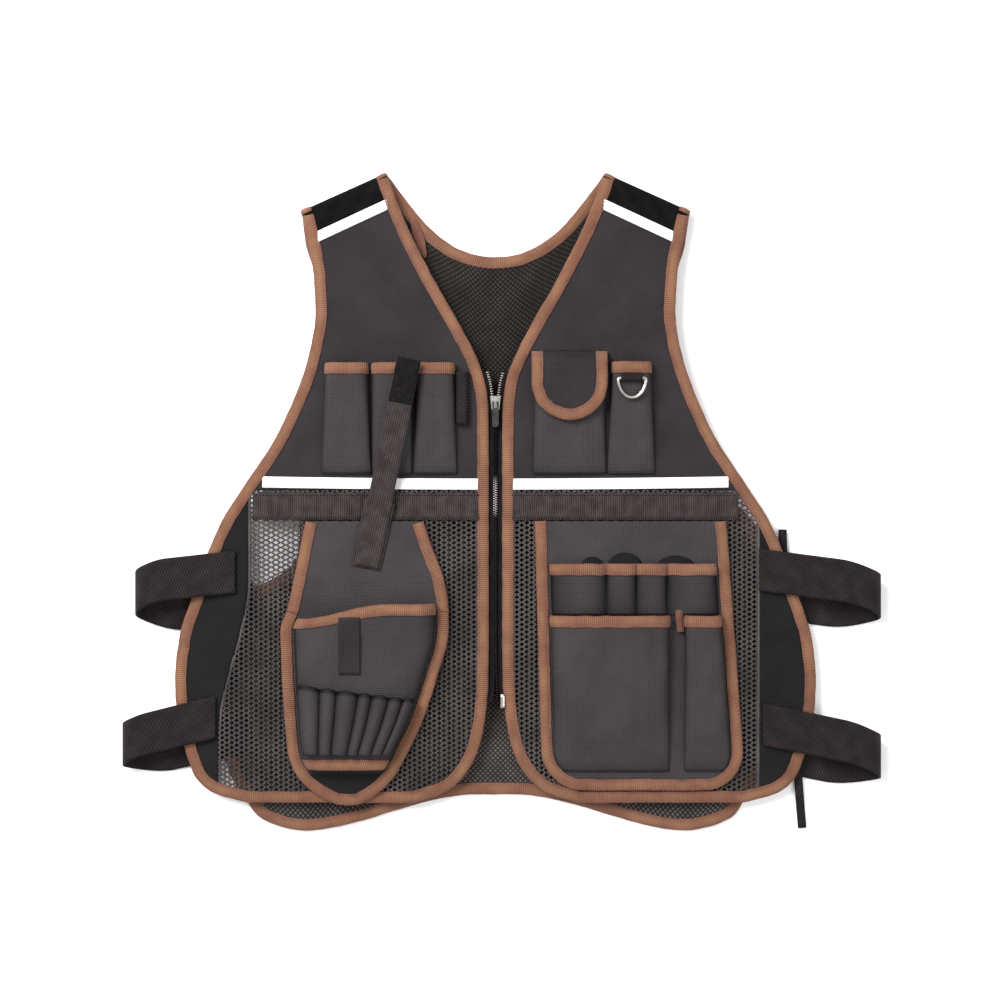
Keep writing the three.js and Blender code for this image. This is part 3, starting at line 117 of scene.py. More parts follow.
def back_hem(x):
    near = np.abs(x) / LOBE_AT
    middle = BACK_HEM_Y + BACK_HEM_RISE * (1 - ease(near * 1.05 - 0.1))
    return np.where(near > 1, BACK_HEM_Y + (np.abs(x) - LOBE_AT) ** 2 * 0.0055, middle)


def linear(hex_colour):
    """sRGB hex to the linear values that a shader takes."""
    parts = [int(hex_colour[i : i + 2], 16) / 255 for i in (1, 3, 5)]
    return [c / 12.92 if c <= 0.04045 else ((c + 0.055) / 1.055) ** 2.4 for c in parts] + [1]


def add(tree, kind, values=None, **settings):
    """One node with its settings; each input is linked to a socket or given its value."""
    item = tree.nodes.new(kind)
    for key, value in settings.items():
        setattr(item, key, value)
    for socket, value in (values or {}).items():
        if isinstance(value, bpy.types.NodeSocket):
            tree.links.new(value, item.inputs[socket])
        else:
            item.inputs[socket].default_value = value
    return item


def finish(name, colour, roughness, metallic=0.0, sheen=0.0, gloss=0.5):
    """An empty finish with its surface shader, ready for its pattern."""
    made = bpy.data.materials.new(name)
    made.use_nodes = True
    made.diffuse_color = linear(colour)
    surface = made.node_tree.nodes["Principled BSDF"]
    surface.inputs["Base Color"].default_value = linear(colour)
    for socket, value in (
        ("Roughness", roughness), ("Metallic", metallic), ("Sheen Weight", sheen),
        ("Specular IOR Level", gloss),
    ):
        surface.inputs[socket].default_value = value
    return made, made.node_tree, surface


def patchy(tree, where, dark, light, size, detail=3.0):
    """Two shades of one colour that run into each other in patches of a size in metres."""
    patches = add(tree, "ShaderNodeTexNoise", {"Vector": where, "Scale": 1 / size, "Detail": detail})
    ramp = add(tree, "ShaderNodeValToRGB", {"Fac": patches.outputs["Fac"]})
    for element, place, colour in zip(ramp.color_ramp.elements, (0.35, 0.65), (dark, light)):
        element.position, element.color = place, linear(colour)
    return ramp.outputs["Color"]


def crossed(tree, where, scale):
    """Two waves of one scale at right angles, high where both are."""
    values = {"Vector": where, "Scale": scale}
    one, two = (add(tree, "ShaderNodeTexWave", values, bands_direction=way) for way in "XY")
    both = {0: one.outputs["Fac"], 1: two.outputs["Fac"]}
    return add(tree, "ShaderNodeMath", both, operation="MULTIPLY").outputs[0]


def patterned(tree, surface, tone, pattern, low_tint, depth):
    """Colour and relief of a pattern: its low parts take the tint; it stands proud by depth in m."""
    tint = add(
        tree, "ShaderNodeMix", {0: pattern, 6: linear(low_tint), 7: linear("#ffffff")},
        data_type="RGBA",
    )
    shade = add(
        tree, "ShaderNodeMix", {0: 1.0, 6: tone, 7: tint.outputs[2]}, data_type="RGBA",
        blend_type="MULTIPLY",
    )
    tree.links.new(shade.outputs[2], surface.inputs["Base Color"])
    bump = add(tree, "ShaderNodeBump", {"Height": pattern, "Distance": depth})
    tree.links.new(bump.outputs["Normal"], surface.inputs["Normal"])


# Close-knitted net: rows of small dark cells in warm charcoal, drawn at 3.4 mm, about twice their
# real pitch. It is dark at the neck and has painted light below, where it shows through the fronts'
# net. A wave of this scale in metres has its period at pi / (10 * scale).
knit_net, tree, surface = finish("close_knitted_net", "#3a3633", 0.8, gloss=0.1)
where = add(tree, "ShaderNodeUVMap").outputs["UV"]
turned = add(
    tree, "ShaderNodeMapping", {"Vector": where, "Rotation": (0, 0, math.radians(45))}
).outputs[0]
cells = crossed(tree, turned, math.pi / 0.034)
height = add(
    tree, "ShaderNodeSeparateXYZ", {0: add(tree, "ShaderNodeTexCoord").outputs["Object"]}
).outputs["Y"]
# Painted light: the net is lightened towards the hem, where the fronts' strands shade it
painted_light_share = add(tree, "ShaderNodeMapRange", {"Value": height, "From Min": 0.12, "From Max": 0.0}).outputs[0]
new = patchy(tree, where, "#35312e", "#45413d", 0.03)
lightened_tone = patchy(tree, where, "#55504d", "#6b6662", 0.03)
tone = add(tree, "ShaderNodeMix", {0: painted_light_share, 6: new, 7: lightened_tone}, data_type="RGBA").outputs[2]
patterned(tree, surface, tone, cells, "#6a6764", 0.0006)


def map_of(points):
    """Distance along and across a grid of points, in metres, for the weave to follow."""
    across = np.linalg.norm(np.diff(points, axis=1), axis=2).cumsum(axis=1)
    across = np.concatenate([np.zeros((len(points), 1)), across], axis=1)
    across -= across[:, [across.shape[1] // 2]]
    middle = points[:, points.shape[1] // 2]
    down = np.concatenate([[0], np.linalg.norm(np.diff(middle, axis=0), axis=1).cumsum()])
    return np.stack([across, np.broadcast_to(down[:, None], across.shape)], axis=2) / 1000


def piece(name, points, faces, uv, material, slot, nodes=(), body="vest", attributes=None):
    """A finished mesh from points in the cut's millimetres, riding on its body."""
    mesh = bpy.data.meshes.new(name)
    mesh.from_pydata(((np.asarray(points) + ORIGIN) / 1000).tolist(), [], faces)
    shell = bmesh.new()
    shell.from_mesh(mesh)
    bmesh.ops.recalc_face_normals(shell, faces=shell.faces)
    shell.to_mesh(mesh)
    shell.free()
    layer = mesh.uv_layers.new(name="UVMap")
    corners = np.empty(len(mesh.loops), dtype=np.int32)
    mesh.loops.foreach_get("vertex_index", corners)
    layer.data.foreach_set("uv", np.asarray(uv, dtype=np.float32)[corners].ravel())
    for key, values in (attributes or {}).items():
        mesh.attributes.new(key, "FLOAT", "POINT").data.foreach_set(
            "value", np.asarray(values, dtype=np.float32)
        )
    mesh.materials.append(material)
    mesh.shade_smooth()
    made = bpy.data.objects.new(name, mesh)
    bpy.context.scene.collection.objects.link(made)
    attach(made, body)
    if nodes:
        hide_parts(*nodes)
    return made


def normals_of(points):
    """Unit normals of a grid, on its upper side."""
    normal = np.cross(np.gradient(points, axis=1), np.gradient(points, axis=0))
    normal /= np.maximum(np.linalg.norm(normal, axis=2, keepdims=True), 1e-9)
    return normal if normal[..., 2].sum() > 0 else -normal


def cloth(name, middle, material, slot, nodes=(), thickness=CLOTH, normals=None, **more):
    """Closed cloth of one thickness about a grid of middle points."""
    rows, columns, _ = middle.shape
    normals = normals_of(middle) if normals is None else normals
    sides = [
        (middle + normals * thickness / 2).reshape(-1, 3),
        (middle - normals * thickness / 2).reshape(-1, 3),
    ]
    top = np.arange(rows * columns).reshape(rows, columns)
    low = top + rows * columns
    quads = [
        (top[:-1, :-1], top[:-1, 1:], top[1:, 1:], top[1:, :-1]),
        (low[:-1, :-1], low[1:, :-1], low[1:, 1:], low[:-1, 1:]),
        (top[:-1, 0], top[1:, 0], low[1:, 0], low[:-1, 0]),
        (top[1:, -1], top[:-1, -1], low[:-1, -1], low[1:, -1]),
        (top[0, 1:], top[0, :-1], low[0, :-1], low[0, 1:]),
        (top[-1, :-1], top[-1, 1:], low[-1, 1:], low[-1, :-1]),
    ]
    faces = np.concatenate([np.stack(quad, axis=-1).reshape(-1, 4) for quad in quads]).tolist()
    uv = map_of(middle).reshape(-1, 2)
    return piece(
        name, np.concatenate(sides), faces, np.concatenate([uv, uv]), material, slot, nodes, **more
    )


half_columns = np.linspace(0, 1, 46)
share = np.concatenate([-half_columns[:0:-1], half_columns])[None, :]
down = np.linspace(0, 1, 110)[:, None]
size = np.abs(share)
beyond = np.clip((size - NECK_SHARE) / (1 - NECK_SHARE), 0, 1)
neck_x = BACK_NECK_END[0] * np.minimum(size / NECK_SHARE, 1)
top_x = np.where(
    size <= NECK_SHARE, neck_x, BACK_NECK_END[0] + (BACK_ARM_END[0] - TUCK - BACK_NECK_END[0]) * beyond
)
shoulder_y = BACK_NECK_END[1] + (BACK_ARM_END[1] - BACK_NECK_END[1]) * beyond - 2 * GAP
top_y = np.where(size <= NECK_SHARE, neckline(neck_x) - TUCK, shoulder_y)
bottom_x = (HEM_CORNER * BACK_HALF_WIDTH - TUCK * 1.5) * size
bottom_y = back_hem(bottom_x) + TUCK * 1.2
back_y = top_y + (bottom_y - top_y) * down
limit = np.where(share > 0, back_edge(back_y, "right"), back_edge(back_y)) - TUCK * 1.3
from_reach = top_x / (back_edge(top_y) - TUCK * 1.3)
to_reach = bottom_x / (back_edge(bottom_y) - TUCK * 1.3)
back_x = np.sign(share) * np.minimum(limit * (from_reach + (to_reach - from_reach) * ease(down)), limit)
back_z = BACK_MIDDLE + 0.4 * (1 + np.sin(back_x / 31 + back_y / 57)) * ease((170 - np.abs(back_x)) / 60)
back = cloth("back_panel", np.stack([back_x, back_y, back_z], axis=2), knit_net, "net", ["back_net"])

# ---- Fronts ---------------------------------------------------------------------------------------
# Two mirrored fronts in dark grey polyester oxford above and knitted net below, with a plain oxford
# strip down each side. They lie over the back with a little loft, and the pockets and seams pull
# soft folds into them.
HALF_WIDTH, ZIP_HALF_GAP, EDGE_HEIGHT, LOFT, PATCH_LENGTH = 305, 6.2, 9, 13, 34
SEAM_Y = 9
SEAM_RIGHT, SEAM_LEFT, SEAM_SLANT, SEAM_TURN_Y, SEAM_TURN = 250, 234, 29, -75, 150

# down: share of FRONT_LENGTH; inner: share from the zip edge to the neck; outer: share of HALF_WIDTH
FRONT = {
    "down": (0, 0.051, 0.1, 0.141, 0.186, 0.227, 0.271, 0.306, 0.338, 0.376, 0.424, 0.494,
             0.554, 0.614, 0.678, 0.741, 0.805, 0.844, 0.892, 0.929, 0.96, 0.983, 1),
    "inner": (1, 0.883, 0.756, 0.629, 0.483, 0.335, 0.19, 0.088, 0.029, 0.004, 0, 0,
              0, 0, 0, 0, 0.005, 0.02, 0.063, 0.132, 0.254, 0.424, 0.737),
    "outer": (0.641, 0.613, 0.589, 0.572, 0.563, 0.56, 0.572, 0.589, 0.61, 0.641, 0.687, 0.778,
              0.854, 0.905, 0.949, 0.988, 1, 0.997, 0.981, 0.961, 0.936, 0.886, 0.778),
}
# Soft folds: the place, reach, half width, slant in degrees and height of each ridge or dent
FOLDS = {
    "x": (-150, -95, -190, -60, 60, 150, 185, 30, 105, -205, 200, -240, 245, 60, 150),
    "y": (150, 172, 60, 205, 165, 60, 95, 40, 190, -60, -40, -150, -140, 225, 150),
    "reach": (70, 60, 45, 60, 70, 50, 60, 30, 50, 60, 60, 80, 80, 45, 60),
    "width": (16, 11, 9, 12, 13, 9, 8, 7, 12, 14, 14, 16, 16, 10, 12),
    "slant": (8, -4, 70, 55, -10, 60, 115, 120, 15, 100, 78, 95, 85, -50, 12),
    "height": (0.9, -0.8, 1.0, 0.7, -0.8, 1.1, 0.9, 1.1, 0.7, 0.9, 0.9, 0.8, 0.8, 0.6, -0.7),
}


def inner_edge(y):
    return ZIP_HALF_GAP + (NECK_HALF - ZIP_HALF_GAP) * along(
        FRONT, "down", "inner", (NECK_Y - y) / FRONT_LENGTH
    )


def outer_edge(y):
    return HALF_WIDTH * along(FRONT, "down", "outer", (NECK_Y - y) / FRONT_LENGTH)


def folded_by(table, x, y):
    total = 0 * (x + y)
    for cx, cy, reach, width, slant, height in zip(*table.values()):
        c, s = math.cos(math.radians(slant)), math.sin(math.radians(slant))
        run, side = (x - cx) * c + (y - cy) * s, (y - cy) * c - (x - cx) * s
        total = total + height * np.exp(-((run / reach) ** 2) - (side / width) ** 2)
    return total


def underside(x, y):
    across = np.clip(1 - (x / (HALF_WIDTH * 1.05)) ** 2, 0, 1)
    lengthwise = np.clip(1 - (y / (FRONT_LENGTH * 0.55)) ** 2, 0, 1)
    still = ease((np.abs(x) - ZIP_HALF_GAP) / 25) * ease((268 - y) / 30) * ease((y + 280) / 30)
    return EDGE_HEIGHT + LOFT * across * lengthwise + folded_by(FOLDS, x, y) * still


def skin(x, y):
    return underside(x, y) + CLOTH


def front_middle(x, y):
    return underside(x, y) + CLOTH / 2


def side_seam(side, y):
    """Where the net meets the plain side strip; it slants a little on the left."""
    if side > 0:
        return SEAM_RIGHT + 0 * y
    return SEAM_LEFT + SEAM_SLANT * ease((SEAM_TURN_Y - y) / SEAM_TURN)


def drawn_in(edge, y, inward, distance=TUCK):
    slope = (edge(y + 1) - edge(y - 1)) / 2
    return edge(y) + inward * distance * np.minimum(np.hypot(1, slope), 3)


def on_surface(x, y, height):
    x, y = np.broadcast_arrays(x, y)
    return np.stack([x, y, height(x, y) + 0 * x], axis=2)


fold_way = np.array([SHOULDER_LINE, -SHOULDER_DROP]) / math.hypot(SHOULDER_LINE, SHOULDER_DROP)
fold_out = np.array([-fold_way[1], fold_way[0]])
SEAM_NECK_Y = NECK_Y - PATCH_LENGTH * fold_out[1]
SEAM_ARM_Y = NECK_Y - SHOULDER_DROP - PATCH_LENGTH * fold_out[1] * 0.8

# Polyester oxford: a tight basket weave in two close greys, matt. The yokes, the slightly lighter
# pockets and the black side strips are three dye lots of it. The weave is drawn at 2.2 mm, about
# four times its real pitch, so that it shows. Shade is painted darkest in the creases beside its seams.
oxfords = {}
for lot, dark, light in (
    ("yoke", "#2d292b", "#373335"), ("pocket", "#3d393a", "#474344"), ("side", "#171717", "#201f1f")
):
    oxfords[lot], tree, surface = finish("woven_polyester_oxford_" + lot, dark, 0.75, gloss=0.12)
    where = add(tree, "ShaderNodeUVMap").outputs["UV"]
    weave = crossed(tree, where, math.pi / 0.022)
    painted_shade = add(tree, "ShaderNodeAttribute", attribute_name="painted_shade").outputs["Fac"]
    # Painted shade: the attribute darkens the cloth towards near black
    tone = add(
        tree, "ShaderNodeMix",
        {0: painted_shade, 6: patchy(tree, where, dark, light, 0.055, 4.0), 7: linear("#0d0c0c")},
        data_type="RGBA",
    )
    patterned(tree, surface, tone.outputs[2], weave, "#c8c8c8", 0.00035)

for side, name in ((-1, "left"), (1, "right")):
    row, column = np.linspace(0, 1, 90)[:, None], np.linspace(0, 1, 70)[None, :]
    neck_row = SEAM_NECK_Y - GAP + (SEAM_Y + GAP - SEAM_NECK_Y) * row
    arm_row = SEAM_ARM_Y - GAP + (SEAM_Y + GAP - SEAM_ARM_Y) * row
    from_x, to_x = drawn_in(inner_edge, neck_row, 1), drawn_in(outer_edge, arm_row, -1)
    x, y = side * (from_x + (to_x - from_x) * column), neck_row + (arm_row - neck_row) * column
    yoke = cloth(
        "yoke_cloth_" + name, on_surface(x, y, front_middle), oxfords["yoke"], "oxford",
        ["yoke_" + name],
    )

    y = SEAM_Y - GAP + (HEM_Y + TUCK - SEAM_Y) * np.linspace(0, 1, 300)
    wide = y[drawn_in(outer_edge, y, -1) > side_seam(side, y) + 4]
    y = np.linspace(wide.max(), wide.min(), 60)[:, None]
    seam = side_seam(side, y) + GAP
    x = seam + (drawn_in(outer_edge, y, -1) - seam) * np.linspace(0, 1, 14)[None, :]
    strip = cloth(
        "side_cloth_" + name, on_surface(side * x, y, front_middle), oxfords["side"], "oxford",
        ["side_patch_" + name],
    )

# ---- Net of the lower fronts ----------------------------------------------------------------------
# Warp-knitted net of soft round strands that swing from side to side and meet, so that it opens in
# small diamonds. It is caught in the seam under the waist band, the side strip and the hem binding.
NET_PITCH, STRAND, NET_REACH = 4.7, 1.5, 264  # pitch of the diamonds, radius of a strand, half width


def tree_with(name, inputs):
    """A geometry tree with its named inputs."""
    made = bpy.data.node_groups.new(name, "GeometryNodeTree")
    made.interface.new_socket("Geometry", in_out="INPUT", socket_type="NodeSocketGeometry")
    made.interface.new_socket("Geometry", in_out="OUTPUT", socket_type="NodeSocketGeometry")
    for label, kind in inputs.items():
        made.interface.new_socket(label, in_out="INPUT", socket_type="NodeSocket" + kind)
    return made, add(made, "NodeGroupInput").outputs


def closed_by(tree, geometry, given):
    """Ends a tree: its instances made real, and its finish set."""
    real = add(tree, "GeometryNodeRealizeInstances", {"Geometry": geometry})
    done = add(
        tree, "GeometryNodeSetMaterial", {"Geometry": real.outputs[0], "Material": given["Finish"]}
    )
    add(tree, "NodeGroupOutput", {0: done.outputs[0]})


def grown(name, lines, tree, values, nodes=(), body="vest", ups=None):
    """The plain mesh that a geometry tree makes of open lines of points in the cut's millimetres."""
    points = (np.concatenate(lines) + ORIGIN) / 1000
    starts = np.cumsum([0] + [len(line) for line in lines])
    edges = [(i, i + 1) for a, b in zip(starts, starts[1:]) for i in range(a, b - 1)]
    mesh = bpy.data.meshes.new(name + "_lines")
    mesh.from_pydata(points.tolist(), edges, [])
    if ups is not None:
        upward = np.concatenate(ups).astype(np.float32).ravel()
        mesh.attributes.new("up", "FLOAT_VECTOR", "POINT").data.foreach_set("vector", upward)
    maker = bpy.data.objects.new(name + "_lines", mesh)
    bpy.context.scene.collection.objects.link(maker)
    modifier = maker.modifiers.new("Grown", "NODES")
    modifier.node_group = tree
    sockets = {
        item.name: item.identifier for item in tree.interface.items_tree if item.in_out == "INPUT"
    }
    for label, value in values.items():
        modifier[sockets[label]] = value
    evaluated = maker.evaluated_get(bpy.context.evaluated_depsgraph_get())
    made = bpy.data.objects.new(name, bpy.data.meshes.new_from_object(evaluated))
    bpy.data.objects.remove(maker)
    bpy.context.scene.collection.objects.link(made)
    made.data.shade_smooth()
    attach(made, body)
    if nodes:
        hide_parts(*nodes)
    return made


strands, given = tree_with("Strands along lines", {"Radius": "Float", "Finish": "Material"})
curve = add(strands, "GeometryNodeMeshToCurve", {"Mesh": given["Geometry"]})
ring = add(strands, "GeometryNodeCurvePrimitiveCircle", {"Radius": given["Radius"], "Resolution": 4})
tube = add(
    strands, "GeometryNodeCurveToMesh",
    {"Curve": curve.outputs[0], "Profile Curve": ring.outputs[0], "Fill Caps": True},
)
closed_by(strands, tube.outputs[0], given)

# Warp-knitted polyester strand: matt charcoal, a little dusty on its rounds
strand_net, tree, surface = finish("warp_knitted_net", "#393533", 0.75, gloss=0.2)
where = add(tree, "ShaderNodeTexCoord").outputs["Object"]
fuzz = add(tree, "ShaderNodeTexNoise", {"Vector": where, "Scale": 1800.0, "Detail": 2.0}).outputs["Fac"]
patterned(tree, surface, patchy(tree, where, "#433f3e", "#5a5453", 0.035), fuzz, "#d8d8d8", 0.0002)

for side, name in ((-1, "left"), (1, "right")):
    lines = []
    y = np.arange(SEAM_Y, HEM_Y + TUCK, -NET_PITCH / 2)
    swing = np.where(np.arange(len(y)) % 2, 0.5, -0.5) * (NET_PITCH - STRAND)
    inside = drawn_in(inner_edge, y, 1)
    outside = np.minimum(drawn_in(outer_edge, y, -1), side_seam(side, y))
    for i, middle in enumerate(np.arange(ZIP_HALF_GAP + TUCK, NET_REACH, NET_PITCH)):
        x = middle + swing * (1 if i % 2 else -1)
        kept = (x > inside) & (x < outside + NET_PITCH)
        if kept.sum() > 2:
            px, py = side * np.minimum(x, outside)[kept], y[kept]
            lines.append(np.stack([px, py, front_middle(px, py) + 0.25 * (-1) ** i], axis=1))
    values = {"Radius": STRAND / 1000, "Finish": strand_net}
    net = grown("net_strands_" + name, lines, strands, values, ["net_" + name])

# ---- Shoulders ------------------------------------------------------------------------------------
# Black foam-backed knit joins front and back over each shoulder. It turns over the top in a half
# round, and a strip of reflective tape covers the seam where it ends on the front.
def fold_end(x, y):
    radius = (front_middle(x, y) - BACK_MIDDLE) / 2

    def at(turn):
        out = radius * (math.sin(turn) - 1) - CLOTH / 2
        return np.array(
            [x + out * fold_out[0], y + out * fold_out[1], BACK_MIDDLE + radius * (1 + math.cos(turn))]
        )

    return at


fold_neck = fold_end(NECK_HALF, NECK_Y)
fold_arm = fold_end(NECK_HALF + SHOULDER_LINE, NECK_Y - SHOULDER_DROP)


def over_shoulder(end, turns):
    """Middle line of one edge of the shoulder, from the seam on the front over to the back."""
    at_neck = end is fold_neck
    y = SEAM_NECK_Y if at_neck else SEAM_ARM_Y
    x = inner_edge(y) if at_neck else outer_edge(y)
    start = np.array([x, y, 0.0])
    last = np.array([*(BACK_NECK_END if at_neck else BACK_ARM_END), BACK_MIDDLE])
    leg = [start + (end(0) - start) * t for t in np.linspace(0, 1, 8, endpoint=False)]
    for point in leg:
        point[2] = front_middle(point[0], point[1])
    turned = [end(turn) for turn in turns]
    return np.array(
        leg + turned + [turned[-1] + (last - turned[-1]) * t for t in np.linspace(0, 1, 7)[1:]]
    )


# Foam-backed knit: deep black, with a fine stipple that takes hardly any light
foam_knit, tree, surface = finish("foam_backed_knit", "#121212", 0.9, gloss=0.06)
where = add(tree, "ShaderNodeUVMap").outputs["UV"]
stipple = add(tree, "ShaderNodeTexVoronoi", {"Vector": where, "Scale": 500.0}).outputs["Distance"]
patterned(tree, surface, patchy(tree, where, "#0b0b0b", "#141313", 0.012), stipple, "#d0d0d0", 0.0006)

# Retroreflective tape: glass beads in a clear film on white cloth, satin and nearly white
reflective, tree, surface = finish("retroreflective_tape", "#fafaf8", 0.42)
where = add(tree, "ShaderNodeUVMap").outputs["UV"]
beads = add(tree, "ShaderNodeTexVoronoi", {"Vector": where, "Scale": 900.0}).outputs["Distance"]
patterned(tree, surface, patchy(tree, where, "#e4e2e0", "#eeecea", 0.02), beads, "#f8f8f8", 0.00012)

REFLECTOR_WIDTH = 10.5
for side, name in ((-1, "left"), (1, "right")):
    turns = np.linspace(0, math.pi, 13)
    neck_line, arm_line = over_shoulder(fold_neck, turns), over_shoulder(fold_arm, turns)
    t = np.linspace(0, 1, 30)[None, :, None]
    inset = TUCK / np.linalg.norm(arm_line - neck_line, axis=1)[:, None, None]
    grid = neck_line[:, None] + (arm_line - neck_line)[:, None] * (inset + (1 - 2 * inset) * t)
    grid[0, :, 1] += GAP
    grid = grid * np.array([side, 1, 1])
    outward = normals_of(grid)
    outward = outward if outward[2, 15, 2] > 0 else -outward
    patch = cloth(
        "shoulder_cloth_" + name, grid, foam_knit, "shoulder_patch", ["shoulder_patch_" + name],
        normals=outward,
    )

    shift = np.linspace(-0.5, 0.5, 7)[:, None] * REFLECTOR_WIDTH
    start_x = inner_edge(SEAM_NECK_Y) + BINDING_WIDTH - 0.6
    end_x = outer_edge(SEAM_ARM_Y) - BINDING_WIDTH + 0.6
    u = np.linspace(0, 1, 40)[None, :]
    x = start_x + (end_x - start_x) * u + 0 * shift
    y = SEAM_NECK_Y + (SEAM_ARM_Y - SEAM_NECK_Y) * u - shift
    strip = on_surface(side * x, y, lambda a, b: skin(a, b) + GAP + 0.4)
    strip = cloth(
        "shoulder_reflective_" + name, strip, reflective, "reflector", ["shoulder_reflector_" + name],
        thickness=0.6,
    )

# ---- Bindings of the body -------------------------------------------------------------------------
# Brown grosgrain tape folded round every raw edge and sewn through with one row of lockstitch. The
# fold is soft, and the seam puckers it a little.
def evenly(line, spacing=3.0, soften=2):
    """A line's points, softened and set at even distances; further columns go along."""
    line = np.array(line, float)
    for _ in range(soften):
        line[1:-1] = (line[:-2] + 2 * line[1:-1] + line[2:]) / 4
    run = np.concatenate([[0], np.linalg.norm(np.diff(line[:, :3], axis=0), axis=1).cumsum()])
    at = np.linspace(0, run[-1], max(int(run[-1] / spacing), 4))
    return np.stack([np.interp(at, run, line[:, k]) for k in range(line.shape[1])], axis=1)


def unit(vectors):
    return vectors / np.maximum(np.linalg.norm(vectors, axis=-1, keepdims=True), 1e-9)


def straight_up(count):
    return np.tile([0.0, 0.0, 1.0], (count, 1))


def on_edge(line, height, inward):
    """Places along a plan line, the way from each into the cloth, and the way up from it."""
    way = unit(np.gradient(line, axis=0))
    into = np.stack([-way[:, 1], way[:, 0]], axis=1) * inward
    here = height(line[:, 0], line[:, 1]) + 0 * line[:, 0]
    there = height(line[:, 0] + into[:, 0] * BINDING_WIDTH, line[:, 1] + into[:, 1] * BINDING_WIDTH)
    rise = (there - here) / BINDING_WIDTH
    up = unit(np.stack([-rise * into[:, 0], -rise * into[:, 1], np.ones(len(line))], axis=1))
    return np.column_stack([line, here]), np.column_stack([into, rise]), up


def folded_tape(covered=CLOTH, width=BINDING_WIDTH):
    """Section of folded tape: into the cloth, up from its middle, and its painted highlight near the
    fold's top.
    """
    inner = covered / 2 + 0.12
    out = covered / 2 + GAP + TAPE
    over = [(width, inner, 0), (width + 0.1, out - 0.6, 0.1), (width - 0.8, out - 0.2, 0.3)]
    over += [
        (width - 1.7, out - 0.45, 0.2), (width - 2.6, out - 0.1, 0.5), (width * 0.5, out + 0.15, 1)
    ]
    over += [(width * 0.28, out, 0.8), (1.2, out - 0.45, 0.4), (0.35, out * 0.5, 0.15), (0, 0, 0)]
    return over + [(a, -u, k) for a, u, k in over[-2::-1]] + [
        (TAPE, -inner * 0.7, 0), (TAPE, inner * 0.7, 0)
    ]


def swept(name, stations, section, material, slot, nodes=(), pucker=0.0, body="vest", loop=False):
    """A section carried along stations, with its length and its girth as the map."""
    at, into, up = stations
    run = np.concatenate([[0], np.linalg.norm(np.diff(at, axis=0), axis=1).cumsum()])
    a, u, highlight_share = (np.array(column) for column in zip(*section))
    seed = at[0, 0] / 50
    shake = np.array(
        [[noise.noise(Vector((r / 9, k, seed))) for k in (0.3, 7.7, 4.1)] for r in run]
    ) * pucker
    points = at[:, None] + into[:, None] * (
        a * (1 + 0.04 * shake[:, :1]) + 0.4 * shake[:, 1:2]
    )[..., None]
    points = points + up[:, None] * (u * (1 + 0.2 * shake[:, 2:]))[..., None]
    count, corners = len(at), len(section)
    index = np.arange(count * corners).reshape(count, corners)
    ring = np.vstack([index, index[:1]]) if loop else index
    turned = np.roll(ring, -1, axis=1)
    faces = np.stack([ring[:-1], turned[:-1], turned[1:], ring[1:]], axis=-1).reshape(-1, 4).tolist()
    if not loop:
        faces += [index[0].tolist(), index[-1][::-1].tolist()]
    girth = np.concatenate([[0], np.hypot(np.diff(a), np.diff(u)).cumsum()])
    uv = np.stack(np.broadcast_arrays(run[:, None], girth[None, :]), axis=2).reshape(-1, 2) / 1000
    # The section's third column is its share of painted highlight, kept as an attribute
    values = {"highlight_share": np.tile(highlight_share, count)}
    return piece(
        name, points.reshape(-1, 3), faces, uv, material, slot, nodes, attributes=values, body=body
    )


# Brown grosgrain: fine cross ribs, rosy brown at its edges and golden on top of the fold, a painted
# highlight. The ribs are drawn at 1.9 mm, about three times their real pitch, so that they show.
grosgrain, tree, surface = finish("brown_grosgrain_tape", "#8f6650", 0.65, sheen=0.05, gloss=0.2)
where = add(tree, "ShaderNodeUVMap").outputs["UV"]
values = {"Vector": where, "Scale": math.pi / 0.019, "Distortion": 0.4, "Detail": 1.0}
ribs = add(tree, "ShaderNodeTexWave", values, bands_direction="X").outputs["Fac"]
highlight_share = add(tree, "ShaderNodeAttribute", attribute_name="highlight_share").outputs["Fac"]
place = add(tree, "ShaderNodeTexCoord").outputs["Object"]
rosy = patchy(tree, place, "#6a4237", "#855848", 0.018, 4.0)
painted_highlight_tone = patchy(tree, place, "#744d3a", "#8c6549", 0.03, 4.0)
tone = add(tree, "ShaderNodeMix", {0: highlight_share, 6: rosy, 7: painted_highlight_tone}, data_type="RGBA").outputs[2]
patterned(tree, surface, tone, ribs, "#d2d2d2", 0.0004)


def row_tree(name, inputs, axis):
    """A tree that reads lines, the places of a row along them, and the turn at each place."""
    made, given = tree_with(name, inputs)
    curve = add(made, "GeometryNodeMeshToCurve", {"Mesh": given["Geometry"]})
    values = {"Curve": curve.outputs[0], "Length": given["Pitch"]}
    spots = add(made, "GeometryNodeCurveToPoints", values, mode="LENGTH")
    upward = add(made, "GeometryNodeInputNamedAttribute", {"Name": "up"}, data_type="FLOAT_VECTOR")
    values = {0: spots.outputs["Tangent"], 1: upward.outputs[0]}
    turn = add(made, "FunctionNodeAxesToRotation", values, primary_axis=axis, secondary_axis="Z")
    return made, given, {"Points": spots.outputs["Points"], "Rotation": turn.outputs[0]}


def row_of(tree, given, places, shape, sizes):
    """Ends a row's tree with one shape of the given sizes at each place."""
    scale = add(tree, "ShaderNodeCombineXYZ", dict(enumerate(sizes)))
    values = {**places, "Instance": shape.outputs["Mesh"], "Scale": scale.outputs[0]}
    closed_by(tree, add(tree, "GeometryNodeInstanceOnPoints", values).outputs[0], given)


